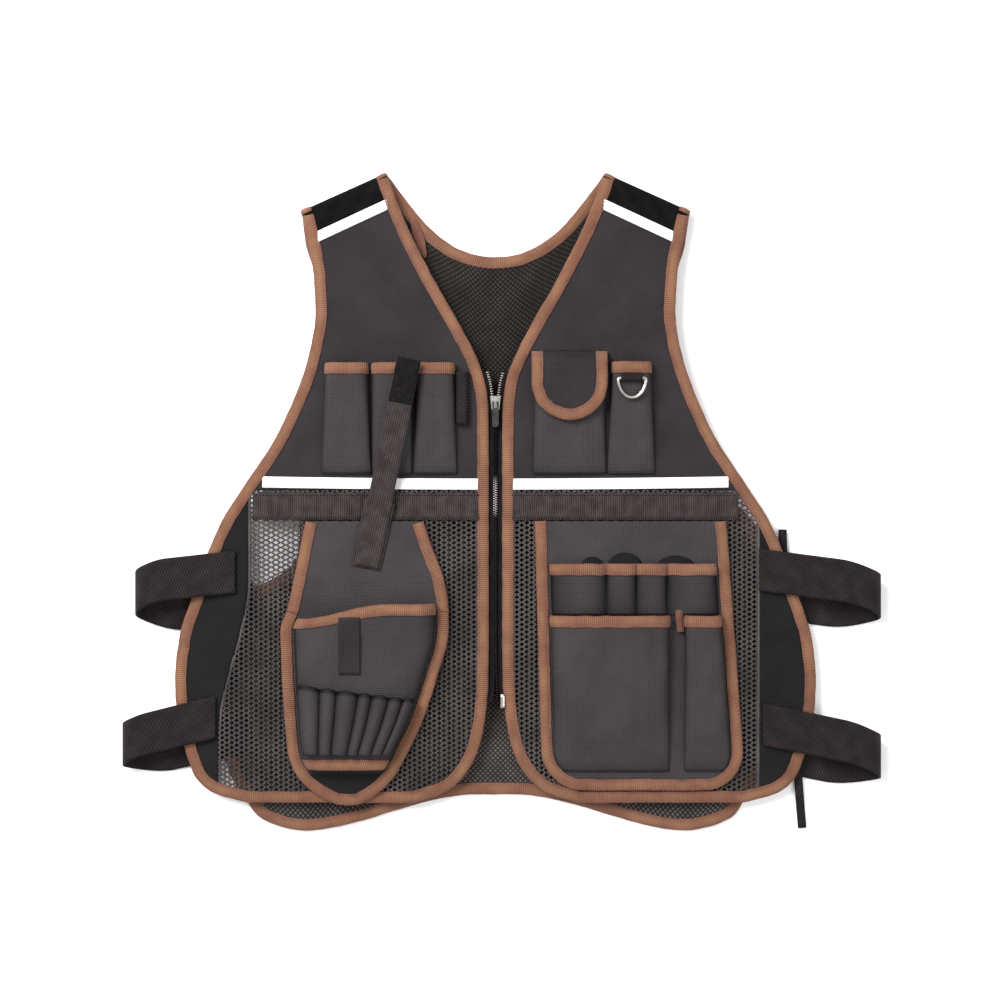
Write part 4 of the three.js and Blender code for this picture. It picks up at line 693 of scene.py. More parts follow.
# Lockstitch: one bead of thread after another along a seam, lying on the cloth
inputs = {"Pitch": "Float", "Thread": "Float", "Finish": "Material"}
stitches, given, places = row_tree("Stitches along lines", inputs, "X")
bead = add(stitches, "GeometryNodeMeshIcoSphere", {"Radius": 1.0, "Subdivisions": 1})
long = add(stitches, "ShaderNodeMath", {0: given["Pitch"], 1: 0.38}, operation="MULTIPLY").outputs[0]
row_of(stitches, given, places, bead, (long, given["Thread"], given["Thread"]))


def spun_thread(name, colour, dark, light, low_tint, **surface_values):
    """Spun polyester sewing thread: a fine twist, shaded along its run."""
    made, tree, surface = finish(name, colour, **surface_values)
    where = add(tree, "ShaderNodeTexCoord").outputs["Object"]
    twist = add(
        tree, "ShaderNodeTexNoise", {"Vector": where, "Scale": 2500.0, "Detail": 1.0}
    ).outputs["Fac"]
    patterned(tree, surface, patchy(tree, where, dark, light, 0.02), twist, low_tint, 0.0002)
    return made


# The thread of the bindings, darker than the tape
shades = ("#7d5440", "#5f3d30", "#7d5440", "#c8c8c8")
brown_thread = spun_thread("brown_sewing_thread", *shades, roughness=0.5, sheen=0.2)
STITCH_IN = 1.7  # from the tape's inner edge to its row of stitches


def bound(name, stations, nodes, pucker=1.0):
    """Folded tape along stations, with its row of stitches near the inner edge of its upper side."""
    tape = swept(name + "_tape", stations, folded_tape(), grosgrain, "binding", nodes, pucker)
    at, into, up = stations
    run = float(np.linalg.norm(np.diff(at, axis=0), axis=1).sum()) / 1000
    line = at + into * (BINDING_WIDTH - STITCH_IN) + up * (CLOTH / 2 + GAP + TAPE - 0.3)
    values = {"Pitch": 0.0032, "Thread": 0.0004, "Finish": brown_thread}
    return grown(name + "_stitches", [line], stitches, values, ups=[up])


hem_share = np.concatenate([np.linspace(0, 0.94, 120), 1 - 0.06 * (1 - np.linspace(0, 1, 40)[1:]) ** 2])
for side, name in ((-1, "left"), (1, "right")):
    start, end = fold_neck(0)[:2], fold_arm(0)[:2]
    inner_y, outer_y = NECK_Y - hem_share * FRONT_LENGTH, (NECK_Y - hem_share * FRONT_LENGTH)[::-1]
    inner_y, outer_y = inner_y[inner_y < start[1] - 4], outer_y[outer_y < end[1] - 4]
    inner_line = np.column_stack([inner_edge(inner_y), inner_y])
    outer_line = np.column_stack([outer_edge(outer_y), outer_y])
    line = evenly(np.vstack([[start], inner_line, outer_line, [end]])) * [side, 1]
    bound(
        "front_edge_" + name, on_edge(line, front_middle, side), ["front_binding_" + name],
    )


def turned_over(side, end, turns):
    """Stations of a back binding where it runs over the shoulder fold."""
    sign = 1 if end is fold_neck else -1
    rows = []
    for turn in turns:
        into = [side * fold_way[0] * sign, fold_way[1] * sign, 0]
        up = [-side * fold_out[0] * math.sin(turn), -fold_out[1] * math.sin(turn), -math.cos(turn)]
        rows.append([end(turn) * [side, 1, 1], into, up])
    return np.array(rows)


def joined_stations(*runs):
    """Runs of stations made one, softened where they meet and set at even distances."""
    rows = evenly(np.concatenate([run.reshape(len(run), 9) for run in runs]), 3.0, soften=3)
    return rows[:, :3], unit(rows[:, 3:6]), unit(rows[:, 6:])


def flat_back(x, y):
    return BACK_MIDDLE + 0 * x


over = [0.25, 0.5, 0.8, 1.1, 1.4, 1.7, 2.0, 2.3, 2.6, 2.9]
x = np.linspace(-1, 1, 90) * BACK_NECK_END[0]
neck_run = np.stack(on_edge(np.column_stack([x, neckline(x)]), flat_back, -1), axis=1)
neck = joined_stations(
    turned_over(-1, fold_neck, over), neck_run, turned_over(1, fold_neck, over)[::-1]
)
bound("back_neck", neck, ["back_neck_binding"])

corner_x = HEM_CORNER * BACK_HALF_WIDTH
y = np.linspace(BACK_ARM_END[1], back_hem(corner_x) + 34, 130)
side_runs = [np.column_stack([back_edge(y, key), y]) for key in ("right", "left")]
t = np.linspace(0.1, 1, 12)
y = back_hem(corner_x) + 34 - 31 * t
corner_run = np.column_stack([back_edge(y) + (corner_x + 1 - back_edge(y)) * t * t, y])
x = np.linspace(corner_x - 4, 0, 70)
hem_run = np.column_stack([x, back_hem(x)])
right_half, left_half = (np.vstack([run, corner_run, hem_run]) for run in side_runs)
whole = evenly(np.vstack([right_half, (left_half * [-1, 1])[-2::-1]]))
edge_run = np.stack(on_edge(whole, flat_back, -1), axis=1)
edge = joined_stations(turned_over(1, fold_arm, over), edge_run, turned_over(-1, fold_arm, over)[::-1])
bound("back_edge", edge, ["back_edge_binding"])

# A leaf of the same tape is turned in where the neck binding starts on the left
LEAF_X, LEAF_Y, LEAF_RUN, LEAF_DROP = -80, 271, 13, 40
t, u = np.linspace(0, 1, 22)[:, None], np.linspace(-0.5, 0.5, 9)[None, :]
wide = 2 + 8 * np.sin(math.pi * t) ** 0.8
x, y = LEAF_X + LEAF_RUN * t + wide * u * 0.96, LEAF_Y - LEAF_DROP * t + wide * u * 0.28
leaf = cloth(
    "neck_leaf", np.stack([x, y, 5.2 + 0.8 * np.cos(math.pi * u) * np.sin(math.pi * t)], axis=2),
    grosgrain, "binding", thickness=0.9,
)

# ---- Bands across the fronts ----------------------------------------------------------------------
# A reflective strip runs over each front just above a gathered band of ribbed elastic, which covers
# the seam between oxford and net. Both are sewn down flat, the elastic slightly stretched, so that
# it draws in again in small upright folds.
CHEST_REFLECTOR_Y, WAIST_BAND_Y, WAIST_BAND_WIDTH, WEBBING = 15, -6, 26, 1.8

# Ribbed elastic: brown-black, with upright ribs drawn at 2.1 mm and small gathers
elastic, tree, surface = finish("ribbed_elastic", "#3a3433", 0.8, gloss=0.12)
where = add(tree, "ShaderNodeUVMap").outputs["UV"]
values = {
    "Vector": where, "Scale": math.pi / 0.021, "Distortion": 1.2, "Detail": 1.0, "Detail Scale": 3.0
}
ribs = add(tree, "ShaderNodeTexWave", values, bands_direction="X").outputs["Fac"]
patterned(tree, surface, patchy(tree, where, "#383131", "#484040", 0.012, 4.0), ribs, "#b4b0b0", 0.0006)

# The near-black thread of the seams in the dark cloth
shades = ("#141212", "#100e0e", "#1b1818", "#c0c0c0")
dark_thread = spun_thread("dark_sewing_thread", *shades, roughness=0.7, gloss=0.15)


def across_front(y_middle, width, columns, lift=0):
    """Plan places of a strip over one front, from its inner to its outer binding."""
    top_y = y_middle + width / 2
    from_x, to_x = inner_edge(top_y) + BINDING_WIDTH - 0.8, outer_edge(top_y) - BINDING_WIDTH - 2
    x, down = np.linspace(from_x, to_x, columns)[None, :], np.linspace(0.5, -0.5, 11)[:, None]
    return x, down, y_middle + width * down + lift * (x / HALF_WIDTH) ** 2


for side, name in ((-1, "left"), (1, "right")):
    x, _, y = across_front(CHEST_REFLECTOR_Y, REFLECTOR_WIDTH, 90, 4)
    grid = on_surface(side * x, y, lambda a, b: skin(a, b) + GAP + 0.35)
    strip = cloth(
        "chest_reflective_" + name, grid, reflective, "reflector", ["chest_reflector_" + name],
        thickness=0.6,
    )

    x, down, y = across_front(WAIST_BAND_Y, WAIST_BAND_WIDTH, 240)
    ripple = (
        0.5 * np.sin(x / 1.9 + 2.4 * np.sin(x / 17)) * (1 - (2 * down) ** 4)
        + 0.3 * np.sin(x / 5.3 + 3 * down)
    )
    grid = on_surface(side * x, y, lambda a, b: skin(a, b) + GAP + WEBBING / 2 + ripple)
    band = cloth(
        "waist_elastic_" + name, grid, elastic, "webbing", ["waist_band_" + name],
        thickness=WEBBING - 0.3,
    )
    for label, place in (("upper", 1), ("lower", -2)):
        line = grid[place] + [0, 0, WEBBING / 2]
        values = {"Pitch": 0.0034, "Thread": 0.00042, "Finish": dark_thread}
        grown(
            f"waist_stitches_{label}_{name}", [line], stitches, values,
            ups=[straight_up(len(line))],
        )

# ---- Zip ------------------------------------------------------------------------------------------
# A separating zip of nickel-plated teeth on black knitted tape, sewn behind the two bound edges. It
# is open from the slider up, where its two rows part, and ends below in a stop.
ZIP_TOP, ZIP_BOTTOM, SLIDER_Y, ZIP_TAPE_WIDTH = 122, -192, 92, 19


def tape_height(x, y):
    return underside(x, y) - 2 * GAP - TAPE - TAPE / 2


# Knitted zip tape: near black, with fine lengthwise wales drawn at 2 mm
zip_knit, tree, surface = finish("knitted_zip_tape", "#181617", 0.8, gloss=0.1)
where = add(tree, "ShaderNodeUVMap").outputs["UV"]
wales = add(
    tree, "ShaderNodeTexWave", {"Vector": where, "Scale": math.pi / 0.02}, bands_direction="X"
).outputs["Fac"]
patterned(tree, surface, patchy(tree, where, "#171516", "#221f20", 0.02), wales, "#b4b4b4", 0.0004)

# Nickel plate on zinc and steel: bright and slightly warm, with fine wear on its faces
nickel, tree, surface = finish("nickel_plate", "#c9c5c1", 0.27, metallic=1.0)
where = add(tree, "ShaderNodeTexCoord").outputs["Object"]
wear = add(tree, "ShaderNodeTexNoise", {"Vector": where, "Scale": 900.0, "Detail": 3.0}).outputs["Fac"]
patterned(tree, surface, patchy(tree, where, "#b4afab", "#d9d5d1", 0.004), wear, "#dcdcdc", 0.00008)

# Painted shade: the closed teeth are darkened nearly black between the bindings, and left bright
# nickel above the slider and in a short stretch at the waist. Heights are in metres in the row frame.
shade_painted_nickel, tree, surface = finish("nickel_with_painted_shade", "#4a4746", 0.38, metallic=1.0)
where = add(tree, "ShaderNodeTexCoord").outputs["Object"]
height = add(tree, "ShaderNodeSeparateXYZ", {0: where}).outputs["Y"]
share_up = add(
    tree, "ShaderNodeMapRange", {"Value": height, "From Min": -0.2, "From Max": 0.13}
).outputs[0]
ramp = add(tree, "ShaderNodeValToRGB", {"Fac": share_up})
for place, colour in (
    (0.56, "#2f2d2d"), (0.585, "#b8b4b0"), (0.655, "#b8b4b0"), (0.68, "#242323"), (0.86, "#242323"),
    (0.88, "#c9c5c1"),
):
    ramp.color_ramp.elements.new(place).color = linear(colour)
ramp.color_ramp.elements[0].color = linear("#2f2d2d")
ramp.color_ramp.elements[-1].color = linear("#c9c5c1")
wear = add(tree, "ShaderNodeTexNoise", {"Vector": where, "Scale": 900.0, "Detail": 3.0}).outputs["Fac"]
patterned(tree, surface, ramp.outputs["Color"], wear, "#c8c8c8", 0.00008)

inputs = {"Pitch": "Float", "Length": "Float", "Width": "Float", "Finish": "Material"}
teeth, given, places = row_tree("Teeth along lines", inputs, "Y")
values = {"Vertices": 6, "Radius": 0.5, "Depth": 1.0}
block = add(teeth, "GeometryNodeMeshCylinder", values, fill_type="NGON")
row_of(teeth, given, places, block, (given["Length"], given["Width"], given["Width"]))

rows = []
for side, name in ((-1, "left"), (1, "right")):
    y = np.linspace(ZIP_TOP, ZIP_BOTTOM, 90)[:, None]
    edge = np.maximum(inner_edge(y) - ZIP_HALF_GAP, 0) + GAP
    x = side * (edge + ZIP_TAPE_WIDTH * np.linspace(0, 1, 9)[None, :])
    tape = cloth(
        "zip_knit_" + name, on_surface(x, y, tape_height), zip_knit, "zip_tape", ["zip_tape_" + name],
        thickness=TAPE,
    )
    for top, bottom in ((ZIP_TOP - 1, SLIDER_Y + 6.5), (SLIDER_Y - 7, ZIP_BOTTOM + 4)):
        y = np.linspace(top, bottom, 60) - (1.1 if side > 0 else 0)
        opened = np.maximum(inner_edge(y) - ZIP_HALF_GAP, 0)
        rows.append(
            np.column_stack(
                [side * (opened + np.where(y > SLIDER_Y, 1.6, 0.9)), y, underside(0 * y, y) - 0.6]
            )
        )
values = {"Pitch": 0.0022, "Length": 0.0034, "Width": 0.0013, "Finish": shade_painted_nickel}
grown(
    "zip_teeth", rows, teeth, values, ["zip_chain"],
    ups=[straight_up(len(row)) for row in rows],
)

# Black enamel on zinc: the pull tab
enamel, tree, surface = finish("black_enamelled_zinc", "#262425", 0.32)
where = add(tree, "ShaderNodeTexCoord").outputs["Object"]
chips = add(tree, "ShaderNodeTexNoise", {"Vector": where, "Scale": 700.0, "Detail": 3.0}).outputs["Fac"]
patterned(tree, surface, patchy(tree, where, "#1f1d1e", "#353334", 0.004), chips, "#c0c0c0", 0.0001)
for node, material in (("zip_slider", nickel), ("zip_pull", enamel)):
    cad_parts[node].data.materials.clear()
    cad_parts[node].data.materials.append(material)

# The stop at the foot of the chain, clamped on the right edge
STOP_X, STOP_TOP, STOP_FOOT = 4.6, -184, -197
y = np.linspace(STOP_TOP, STOP_FOOT, 6)
at = np.column_stack([np.full(6, STOP_X), y, skin(STOP_X, y) + 0.6])
section = [(0, 0, 0), (4.2, 0, 0), (4.6, 1, 0), (4.2, 2.2, 0), (0.4, 2.2, 0), (-0.2, 1, 0)]
swept("zip_stop", (at, np.tile([1.0, 0.0, 0.0], (6, 1)), straight_up(6)), section, nickel, "metal")

# ---- Chest pockets --------------------------------------------------------------------------------
# Patch pockets of oxford, sewn to the yoke at their sides and foot and standing open in a soft
# arch at their mouths, which are bound with the brown tape.
CHEST_MOUTH_Y, CHEST_FLOOR_Y, CHEST_DEPTH = 130, 25, 12
WALL_OUT = CLOTH + GAP + TAPE
# centre, width, flare
CHEST_POCKETS = {"outer": (-141, 42, 8), "middle": (-98, 40, 0), "inner": (-57, 37, 7)}


def pocket_grid(left, right, mouth, floor, depth, seat, rows=34, points=49, folds=0.0, seed=0.0):
    """Middle points of a pocket's cloth, a rounded box in section, with soft upright folds."""
    v, turn = np.linspace(0, 1, rows)[:, None], math.pi * (1 - np.linspace(0, 1, points)[None, :])
    c, s = np.cos(turn), np.maximum(np.sin(turn), 0)
    a, h = np.sign(c) * np.abs(c) ** 0.625, s**0.625
    u = (a + 1) / 2
    y = mouth(u) + (floor(u) - mouth(u)) * v
    x = left(y) + (right(y) - left(y)) * u
    crumple = np.array(
        [
            [noise.noise(Vector((p / 13 + seed, q / 34, seed))) for p, q in zip(r, w)]
            for r, w in zip(x, y)
        ]
    )
    z = seat(x, y) + GAP + depth(v) * h + CLOTH / 2 + folds * crumple * h * np.sin(
        math.pi * (v * 0.8 + 0.2)
    )
    return np.stack([x + CLOTH / 2 * np.where(h < 0.5, np.sign(a), a), y, z], axis=2)


def fade(depth, power=2.2, least=0.5):
    return lambda v: least + (depth - least) * (1 - v**power)


def widening(centre, half, flare, mouth_y, floor_y, side):
    return lambda y: centre + side * (
        half + flare / 2 * np.clip((mouth_y - y) / (mouth_y - floor_y), 0, 1)
    )


def mouth_stations(grid, first=0, second=3):
    """Stations of a binding along one end of a pocket's grid, reaching in over its next rows."""
    row, inner = grid[first], grid[second]
    into, way = unit(inner - row), np.gradient(row, axis=0)
    up = np.stack([-way[:, 2], 0 * way[:, 0], way[:, 0]], axis=1)
    up[0], up[-1] = (-1, 0, 0), (1, 0, 0)
    up = unit(unit(up) - into * (unit(up) * into).sum(axis=1, keepdims=True))
    rows = evenly(np.concatenate([row - into * (TAPE + GAP), into, up], axis=1), 2.5, soften=1)
    return rows[:, :3], unit(rows[:, 3:6]), unit(rows[:, 6:])


def painted_crease_shade(grid, sharp=0.88):
    """Painted shade of each point of a pocket, as in a crease: at its sides, and least at its mouth."""
    rows, columns, _ = grid.shape
    across, down = np.abs(np.linspace(-1, 1, columns))[None, :], np.linspace(0, 1, rows)[:, None]
    shade_amount = (
        0.9 * ease((across - sharp) / (1 - sharp)) + 0.5 * ease((across - 0.5) / 0.5) * (1 - 0.6 * down)
        + 0.25 * ease((down - 0.9) / 0.1)
    )
    return np.minimum(shade_amount, 0.95)


def as_painted_shade(shade_amount):
    """A cloth's painted crease shade, as its attribute, for the points of its upper and its lower side.
    """
    return {"painted_shade": np.concatenate([shade_amount.ravel(), shade_amount.ravel()])}


def patch_pocket(
    name, grid, node, binding=None, painted_shade=None
):
    values = as_painted_shade(painted_crease_shade(grid) if painted_shade is None else painted_shade)
    made = cloth(name + "_cloth", grid, oxfords["pocket"], "oxford", [node], attributes=values)
    if binding:
        bound(name + "_mouth", mouth_stations(grid), [binding])


def constant(value):
    """A straight side or an even depth, in mm: the same value wherever it is asked."""
    return lambda at: value + 0 * at


def plain_pocket(centre, width, flare, depth, mouth_y, folds, seed):
    half = width / 2 - WALL_OUT
    left, right = (widening(centre, half, flare, mouth_y, CHEST_FLOOR_Y, side) for side in (-1, 1))
    mouth, floor = constant(mouth_y - TAPE - GAP), constant(CHEST_FLOOR_Y)
    return pocket_grid(left, right, mouth, floor, fade(depth), skin, folds=folds, seed=seed)


for i, (name, (centre, width, flare)) in enumerate(CHEST_POCKETS.items()):
    grid = plain_pocket(centre, width, flare, CHEST_DEPTH, CHEST_MOUTH_Y, folds=1.6, seed=i * 3.1)
    patch_pocket(
        "pen_pocket_" + name, grid, "chest_pocket_" + name, "chest_pocket_binding_" + name,
    )
grid = plain_pocket(centre=70, width=68, flare=4, depth=10, mouth_y=CHEST_MOUTH_Y, folds=1.4, seed=11.0)
patch_pocket("flap_pocket_body", grid, "flap_pocket")
grid = plain_pocket(
    centre=128.5, width=39, flare=9, depth=CHEST_DEPTH, mouth_y=131, folds=1.4, seed=14.0
)
patch_pocket(
    "tool_pocket_body", grid, "tool_pocket", "tool_pocket_binding"
)

# Woven polyester webbing: a firm diagonal rib across it, brown-black, drawn at 2.6 mm
webbing, tree, surface = finish("woven_polyester_webbing", "#2b2423", 0.75, gloss=0.15)
where = add(tree, "ShaderNodeUVMap").outputs["UV"]
turned = add(
    tree, "ShaderNodeMapping", {"Vector": where, "Rotation": (0, 0, math.radians(24))}
).outputs[0]
values = {"Vector": turned, "Scale": math.pi / 0.026, "Distortion": 0.5, "Detail": 1.0}
ribs = add(tree, "ShaderNodeTexWave", values, bands_direction="Y").outputs["Fac"]
patterned(tree, surface, patchy(tree, where, "#211b1b", "#302829", 0.02, 4.0), ribs, "#9a9695", 0.0006)

# The pen loop: a narrow open band of it beside the inner pocket
LOOP_LEFT, LOOP_RIGHT, LOOP_TOP, LOOP_FOOT, LOOP_DEPTH = (constant(v) for v in (-36, -27, 121, 72, 7))
loop_grid = pocket_grid(
    LOOP_LEFT, LOOP_RIGHT, LOOP_TOP, LOOP_FOOT, LOOP_DEPTH, skin, rows=20, points=21
)
loop = cloth("pen_loop_webbing", loop_grid, webbing, "webbing", ["pen_loop"])

# ---- Flap -----------------------------------------------------------------------------------------
# A doubled oxford flap, round at its foot and bound with the brown tape, is sewn to the yoke at its
# top and hangs over the front of its pocket.
FLAP_CENTRE, FLAP_WIDTH, FLAP_LENGTH, FLAP_TOP = 70, 72, 66, 141


def flap_height(x, y):
    drop = np.clip((FLAP_TOP - y) / (FLAP_TOP - CHEST_MOUTH_Y - 2), 0, 1)
    away = np.minimum(np.abs(x - FLAP_CENTRE) / (FLAP_WIDTH / 2), 1)
    rise = (10 + CLOTH + 2 - TAPE) * drop * (1 - 0.07 * away**2)
    return skin(x, y) + 2 * GAP + TAPE + rise + CLOTH / 2


half, curve_y = FLAP_WIDTH / 2, FLAP_TOP - FLAP_LENGTH + FLAP_WIDTH / 2
lowest = FLAP_TOP - FLAP_LENGTH + TUCK + 1
rounded = curve_y + (lowest - curve_y) * np.sin(np.linspace(0, 1, 26) * math.pi / 2)
y = np.concatenate([np.linspace(FLAP_TOP, curve_y, 22)[:-1], rounded])[:, None]
r = half - TUCK
x = np.maximum(
    np.where(y >= curve_y, r, np.sqrt(np.maximum(r * r - (curve_y - y) ** 2, 0))), 6
) * np.linspace(-1, 1, 40)[None, :]
flap = cloth(
    "flap_cloth", on_surface(FLAP_CENTRE + x, y, flap_height), oxfords["yoke"], "oxford",
    ["pocket_flap"],
)
turn = np.linspace(math.pi, 2 * math.pi, 50)
straight = np.column_stack([np.full(20, -half), np.linspace(FLAP_TOP, curve_y, 20)])
line = np.vstack(
    [
        straight, np.column_stack([half * np.cos(turn), curve_y + half * np.sin(turn)]),
        (straight * [-1, 1])[::-1],
    ]
)
bound(
    "flap", on_edge(evenly(line + [FLAP_CENTRE, 0]), flap_height, 1), ["pocket_flap_binding"],
)

# ---- D-ring ---------------------------------------------------------------------------------------
# A nickel-plated wire ring, straight on top, that swings in a folded tab of webbing under the tool
# pocket's binding.
wire = 3.2  # mm, its thickness
(ring_low, ring_high), (tab_low, tab_high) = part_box("d_ring"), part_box("d_ring_tab")
ring_x = (ring_low[0] + ring_high[0]) * 500 - ORIGIN[0]
ring_top = ring_high[1] * 1000 - ORIGIN[1] - wire / 2
ring_z, half = (ring_low[2] + ring_high[2]) * 500, (ring_high[0] - ring_low[0]) * 500 - wire / 2
drop = (ring_high[1] - ring_low[1]) * 1000 - wire
turn = np.linspace(0, -math.pi, 40)
bar = np.column_stack([np.linspace(-half, half, 22), np.zeros(22)])[:-1]
line = np.vstack([bar, np.column_stack([half * np.cos(turn), drop * np.sin(turn)])[:-1]])
for _ in range(2):
    line = (np.roll(line, 1, axis=0) + 2 * line + np.roll(line, -1, axis=0)) / 4
way = unit(np.roll(line, -1, axis=0) - np.roll(line, 1, axis=0))
at = np.column_stack([line + [ring_x, ring_top], np.full(len(line), ring_z)])
into = np.column_stack([-way[:, 1], way[:, 0], np.zeros(len(line))])
section = [
    (wire / 2 * math.cos(a), wire / 2 * math.sin(a), 0)
    for a in np.linspace(0, 2 * math.pi, 14, endpoint=False)
]
swept(
    "ring_wire", (at, into, straight_up(len(line))), section, nickel, "metal", ["d_ring"],
    body="d_ring", loop=True,
)

inside = wire / 2 + GAP
reach_up = tab_high[1] * 1000 - ORIGIN[1] - ring_top
bends = np.linspace(math.pi / 2, 3 * math.pi / 2, 14)
section = [(reach_up, inside + TAPE, 0)] + [
    ((inside + TAPE) * math.cos(a), (inside + TAPE) * math.sin(a), 0) for a in bends
]
section += [(reach_up, -inside - TAPE, 0), (reach_up, -inside, 0)]
section += [
    (inside * math.cos(a), inside * math.sin(a), 0) for a in bends[::-1]
] + [(reach_up, inside, 0)]
tab_x = np.linspace(tab_low[0], tab_high[0], 9) * 1000 - ORIGIN[0]
at = np.column_stack([tab_x, np.full(9, ring_top), np.full(9, ring_z)])
tab = swept(
    "ring_tab", (at, np.tile([0.0, 1.0, 0.0], (9, 1)), straight_up(9)), section, webbing, "webbing",
    ["d_ring_tab"],
)

# ---- Holster --------------------------------------------------------------------------------------
# A tapering plate of oxford, bound down its sides and round its foot, carries a deep open-ended
# holster for a drill. A row of sleeves for bits and a small patch are sewn across its front.
PLATE_TOP_Y = WAIST_BAND_Y - WAIST_BAND_WIDTH / 2 - 1
HOLSTER_CENTRE, HOLSTER_WIDTH = -124, 160
HOLSTER_SHOULDER_Y, HOLSTER_BOTTOM_Y, HOLSTER_BASE_Y = -104, -290, -254
HOLSTER = {
    "down": (0, 0.31, 0.38, 0.55, 0.7, 0.82, 0.9, 0.96, 1),
    "left": (-0.35, -0.46, -0.5, -0.49, -0.475, -0.455, -0.4, -0.29, -0.16),
    "right": (0.35, 0.5, 0.5, 0.43, 0.345, 0.25, 0.175, 0.075, -0.04),
}


def pouch_seat(x, y):
    return skin(x, y) + 2 * GAP + TAPE


def holster_seat(x, y):
    return pouch_seat(x, y) + GAP + TAPE


def holster_side(key):
    drop = PLATE_TOP_Y - HOLSTER_BOTTOM_Y
    return lambda y: HOLSTER_CENTRE + HOLSTER_WIDTH * along(
        HOLSTER, "down", key, (PLATE_TOP_Y - y) / drop
    )


holster_left, holster_right = holster_side("left"), holster_side("right")


def holster_middle(x, y):
    return holster_seat(x, y) + CLOTH / 2


def on_plate(x, y):
    return holster_seat(x, y) + CLOTH


y = np.linspace(PLATE_TOP_Y, HOLSTER_BOTTOM_Y + TUCK, 90)[:, None]
from_x, to_x = drawn_in(holster_left, y, 1), drawn_in(holster_right, y, -1)
grid = on_surface(from_x + (to_x - from_x) * np.linspace(0, 1, 50)[None, :], y, holster_middle)
# Painted shade on the plate below the holster's foot
values = as_painted_shade(0.85 * ease((HOLSTER_BASE_Y - 1 - grid[..., 1]) / 6))
plate = cloth("holster_plate", grid, oxfords["pocket"], "oxford", ["holster_back"], attributes=values)
for edge, name, side in ((holster_left, "left", 1), (holster_right, "right", -1)):
    y = np.linspace(PLATE_TOP_Y, HOLSTER_SHOULDER_Y - 1.5, 40)
    line = evenly(np.column_stack([edge(y), y]))
    bound(
        "holster_side_" + name, on_edge(line, holster_middle, side), ["holster_side_binding_" + name],
    )
y = np.concatenate(
    [
        np.linspace(HOLSTER_SHOULDER_Y + 1.5, -240, 60),
        HOLSTER_BOTTOM_Y + 50 * (1 - np.linspace(0, 1, 30)[1:]) ** 1.6,
    ]
)
line = np.vstack([np.column_stack([holster_left(y), y]), np.column_stack([holster_right(y), y])[::-1]])
bound(
    "holster_edge", on_edge(evenly(line, soften=4), holster_middle, 1), ["holster_edge_binding"],
)


def in_holster(edge, inward):
    return lambda y: drawn_in(edge, y, inward, BINDING_WIDTH + 3 * GAP + WALL_OUT)


def holster_depth(v):
    shrink = 22 + (15 - 22) * ease(v / 0.45)
    return shrink + (12 - shrink) * ease((v - 0.85) / 0.15)


def holster_mouth(u):
    return HOLSTER_SHOULDER_Y - 9 + 14 * ease(u * 1.6)


pocket_left, pocket_right = in_holster(holster_left, 1), in_holster(holster_right, -1)
holster_grid = pocket_grid(
    pocket_left, pocket_right, holster_mouth, constant(HOLSTER_BASE_Y), holster_depth, on_plate,
    rows=60, points=61, folds=1.5, seed=20.0,
)
v, u = (np.linspace(0, 1, count) for count in holster_grid.shape[:2])
# Painted shade on the holster's turned left side, added to its painted crease shade
shade = ease((0.13 - u) / 0.04)[None, :] * ease((0.7 - v) / 0.1)[:, None]  # the turned left side
painted_shade = np.maximum(painted_crease_shade(holster_grid), 0.8 * shade)
patch_pocket(
    "holster_pocket", holster_grid, "holster_front", "holster_mouth_binding",
    painted_shade,
)
bound(
    "holster_foot", mouth_stations(holster_grid, -1, -4), ["holster_base_binding"],
)


def over_holster(x, y):
    """Height of the holster's outer face at a place."""
    v = np.clip((HOLSTER_SHOULDER_Y - y) / (HOLSTER_SHOULDER_Y - HOLSTER_BASE_Y), 0, 1)
    a = np.clip((x - pocket_left(y)) / (pocket_right(y) - pocket_left(y)) * 2 - 1, -1, 1)
    return on_plate(x, y) + GAP + holster_depth(v) * (1 - np.abs(a) ** 3.2) ** (1 / 3.2) + CLOTH


SLEEVES, SLEEVE_TOP, SLEEVE_LENGTH, SLEEVE_DEPTH = 7, -178, 62, 8
v, u = np.linspace(0, 1, 24)[:, None], np.linspace(0, 1, 169)[None, :]
seams = (0, 0.198, 0.336, 0.519, 0.634, 0.779, 0.901, 1)
bulge = np.abs(np.sin(math.pi * (np.interp(u, seams, np.arange(SLEEVES + 1)) % 1))) ** 0.55
y = SLEEVE_TOP - SLEEVE_LENGTH * v + (2 - 14 * u + 3 * bulge) * (1 - v)
x = pocket_left(y) - 1 + (pocket_right(y) - pocket_left(y) + 2) * u
z = over_holster(x, y) + GAP + CLOTH / 2 + SLEEVE_DEPTH * bulge * (1 - 0.15 * v)
# Painted shade between the sleeves and along their mouths
painted_shade = np.minimum(0.95 * (1 - bulge) ** 1.2 + 0.8 * ease((0.1 - v) / 0.07), 0.95)
values = as_painted_shade(painted_shade)
sleeves = cloth(
    "bit_sleeve_row", np.stack([x, y + 0 * x, z], axis=2), oxfords["pocket"], "oxford", ["bit_sleeves"],
    attributes=values,
)

# A small upright patch above them
PATCH_LEFT, PATCH_WIDTH, PATCH_TOP_Y, PATCH_DROP = -147, 20, -110, 54
t, u = np.linspace(0, 1, 20)[:, None], np.linspace(0, 1, 12)[None, :]
x, y = PATCH_LEFT + PATCH_WIDTH * u + 0 * t, PATCH_TOP_Y - PATCH_DROP * t + 0 * u
patch = np.stack([x, y, over_holster(x, y) + 1.2], axis=2)
patch = cloth("holster_patch", patch, oxfords["yoke"], "oxford", thickness=0.9)

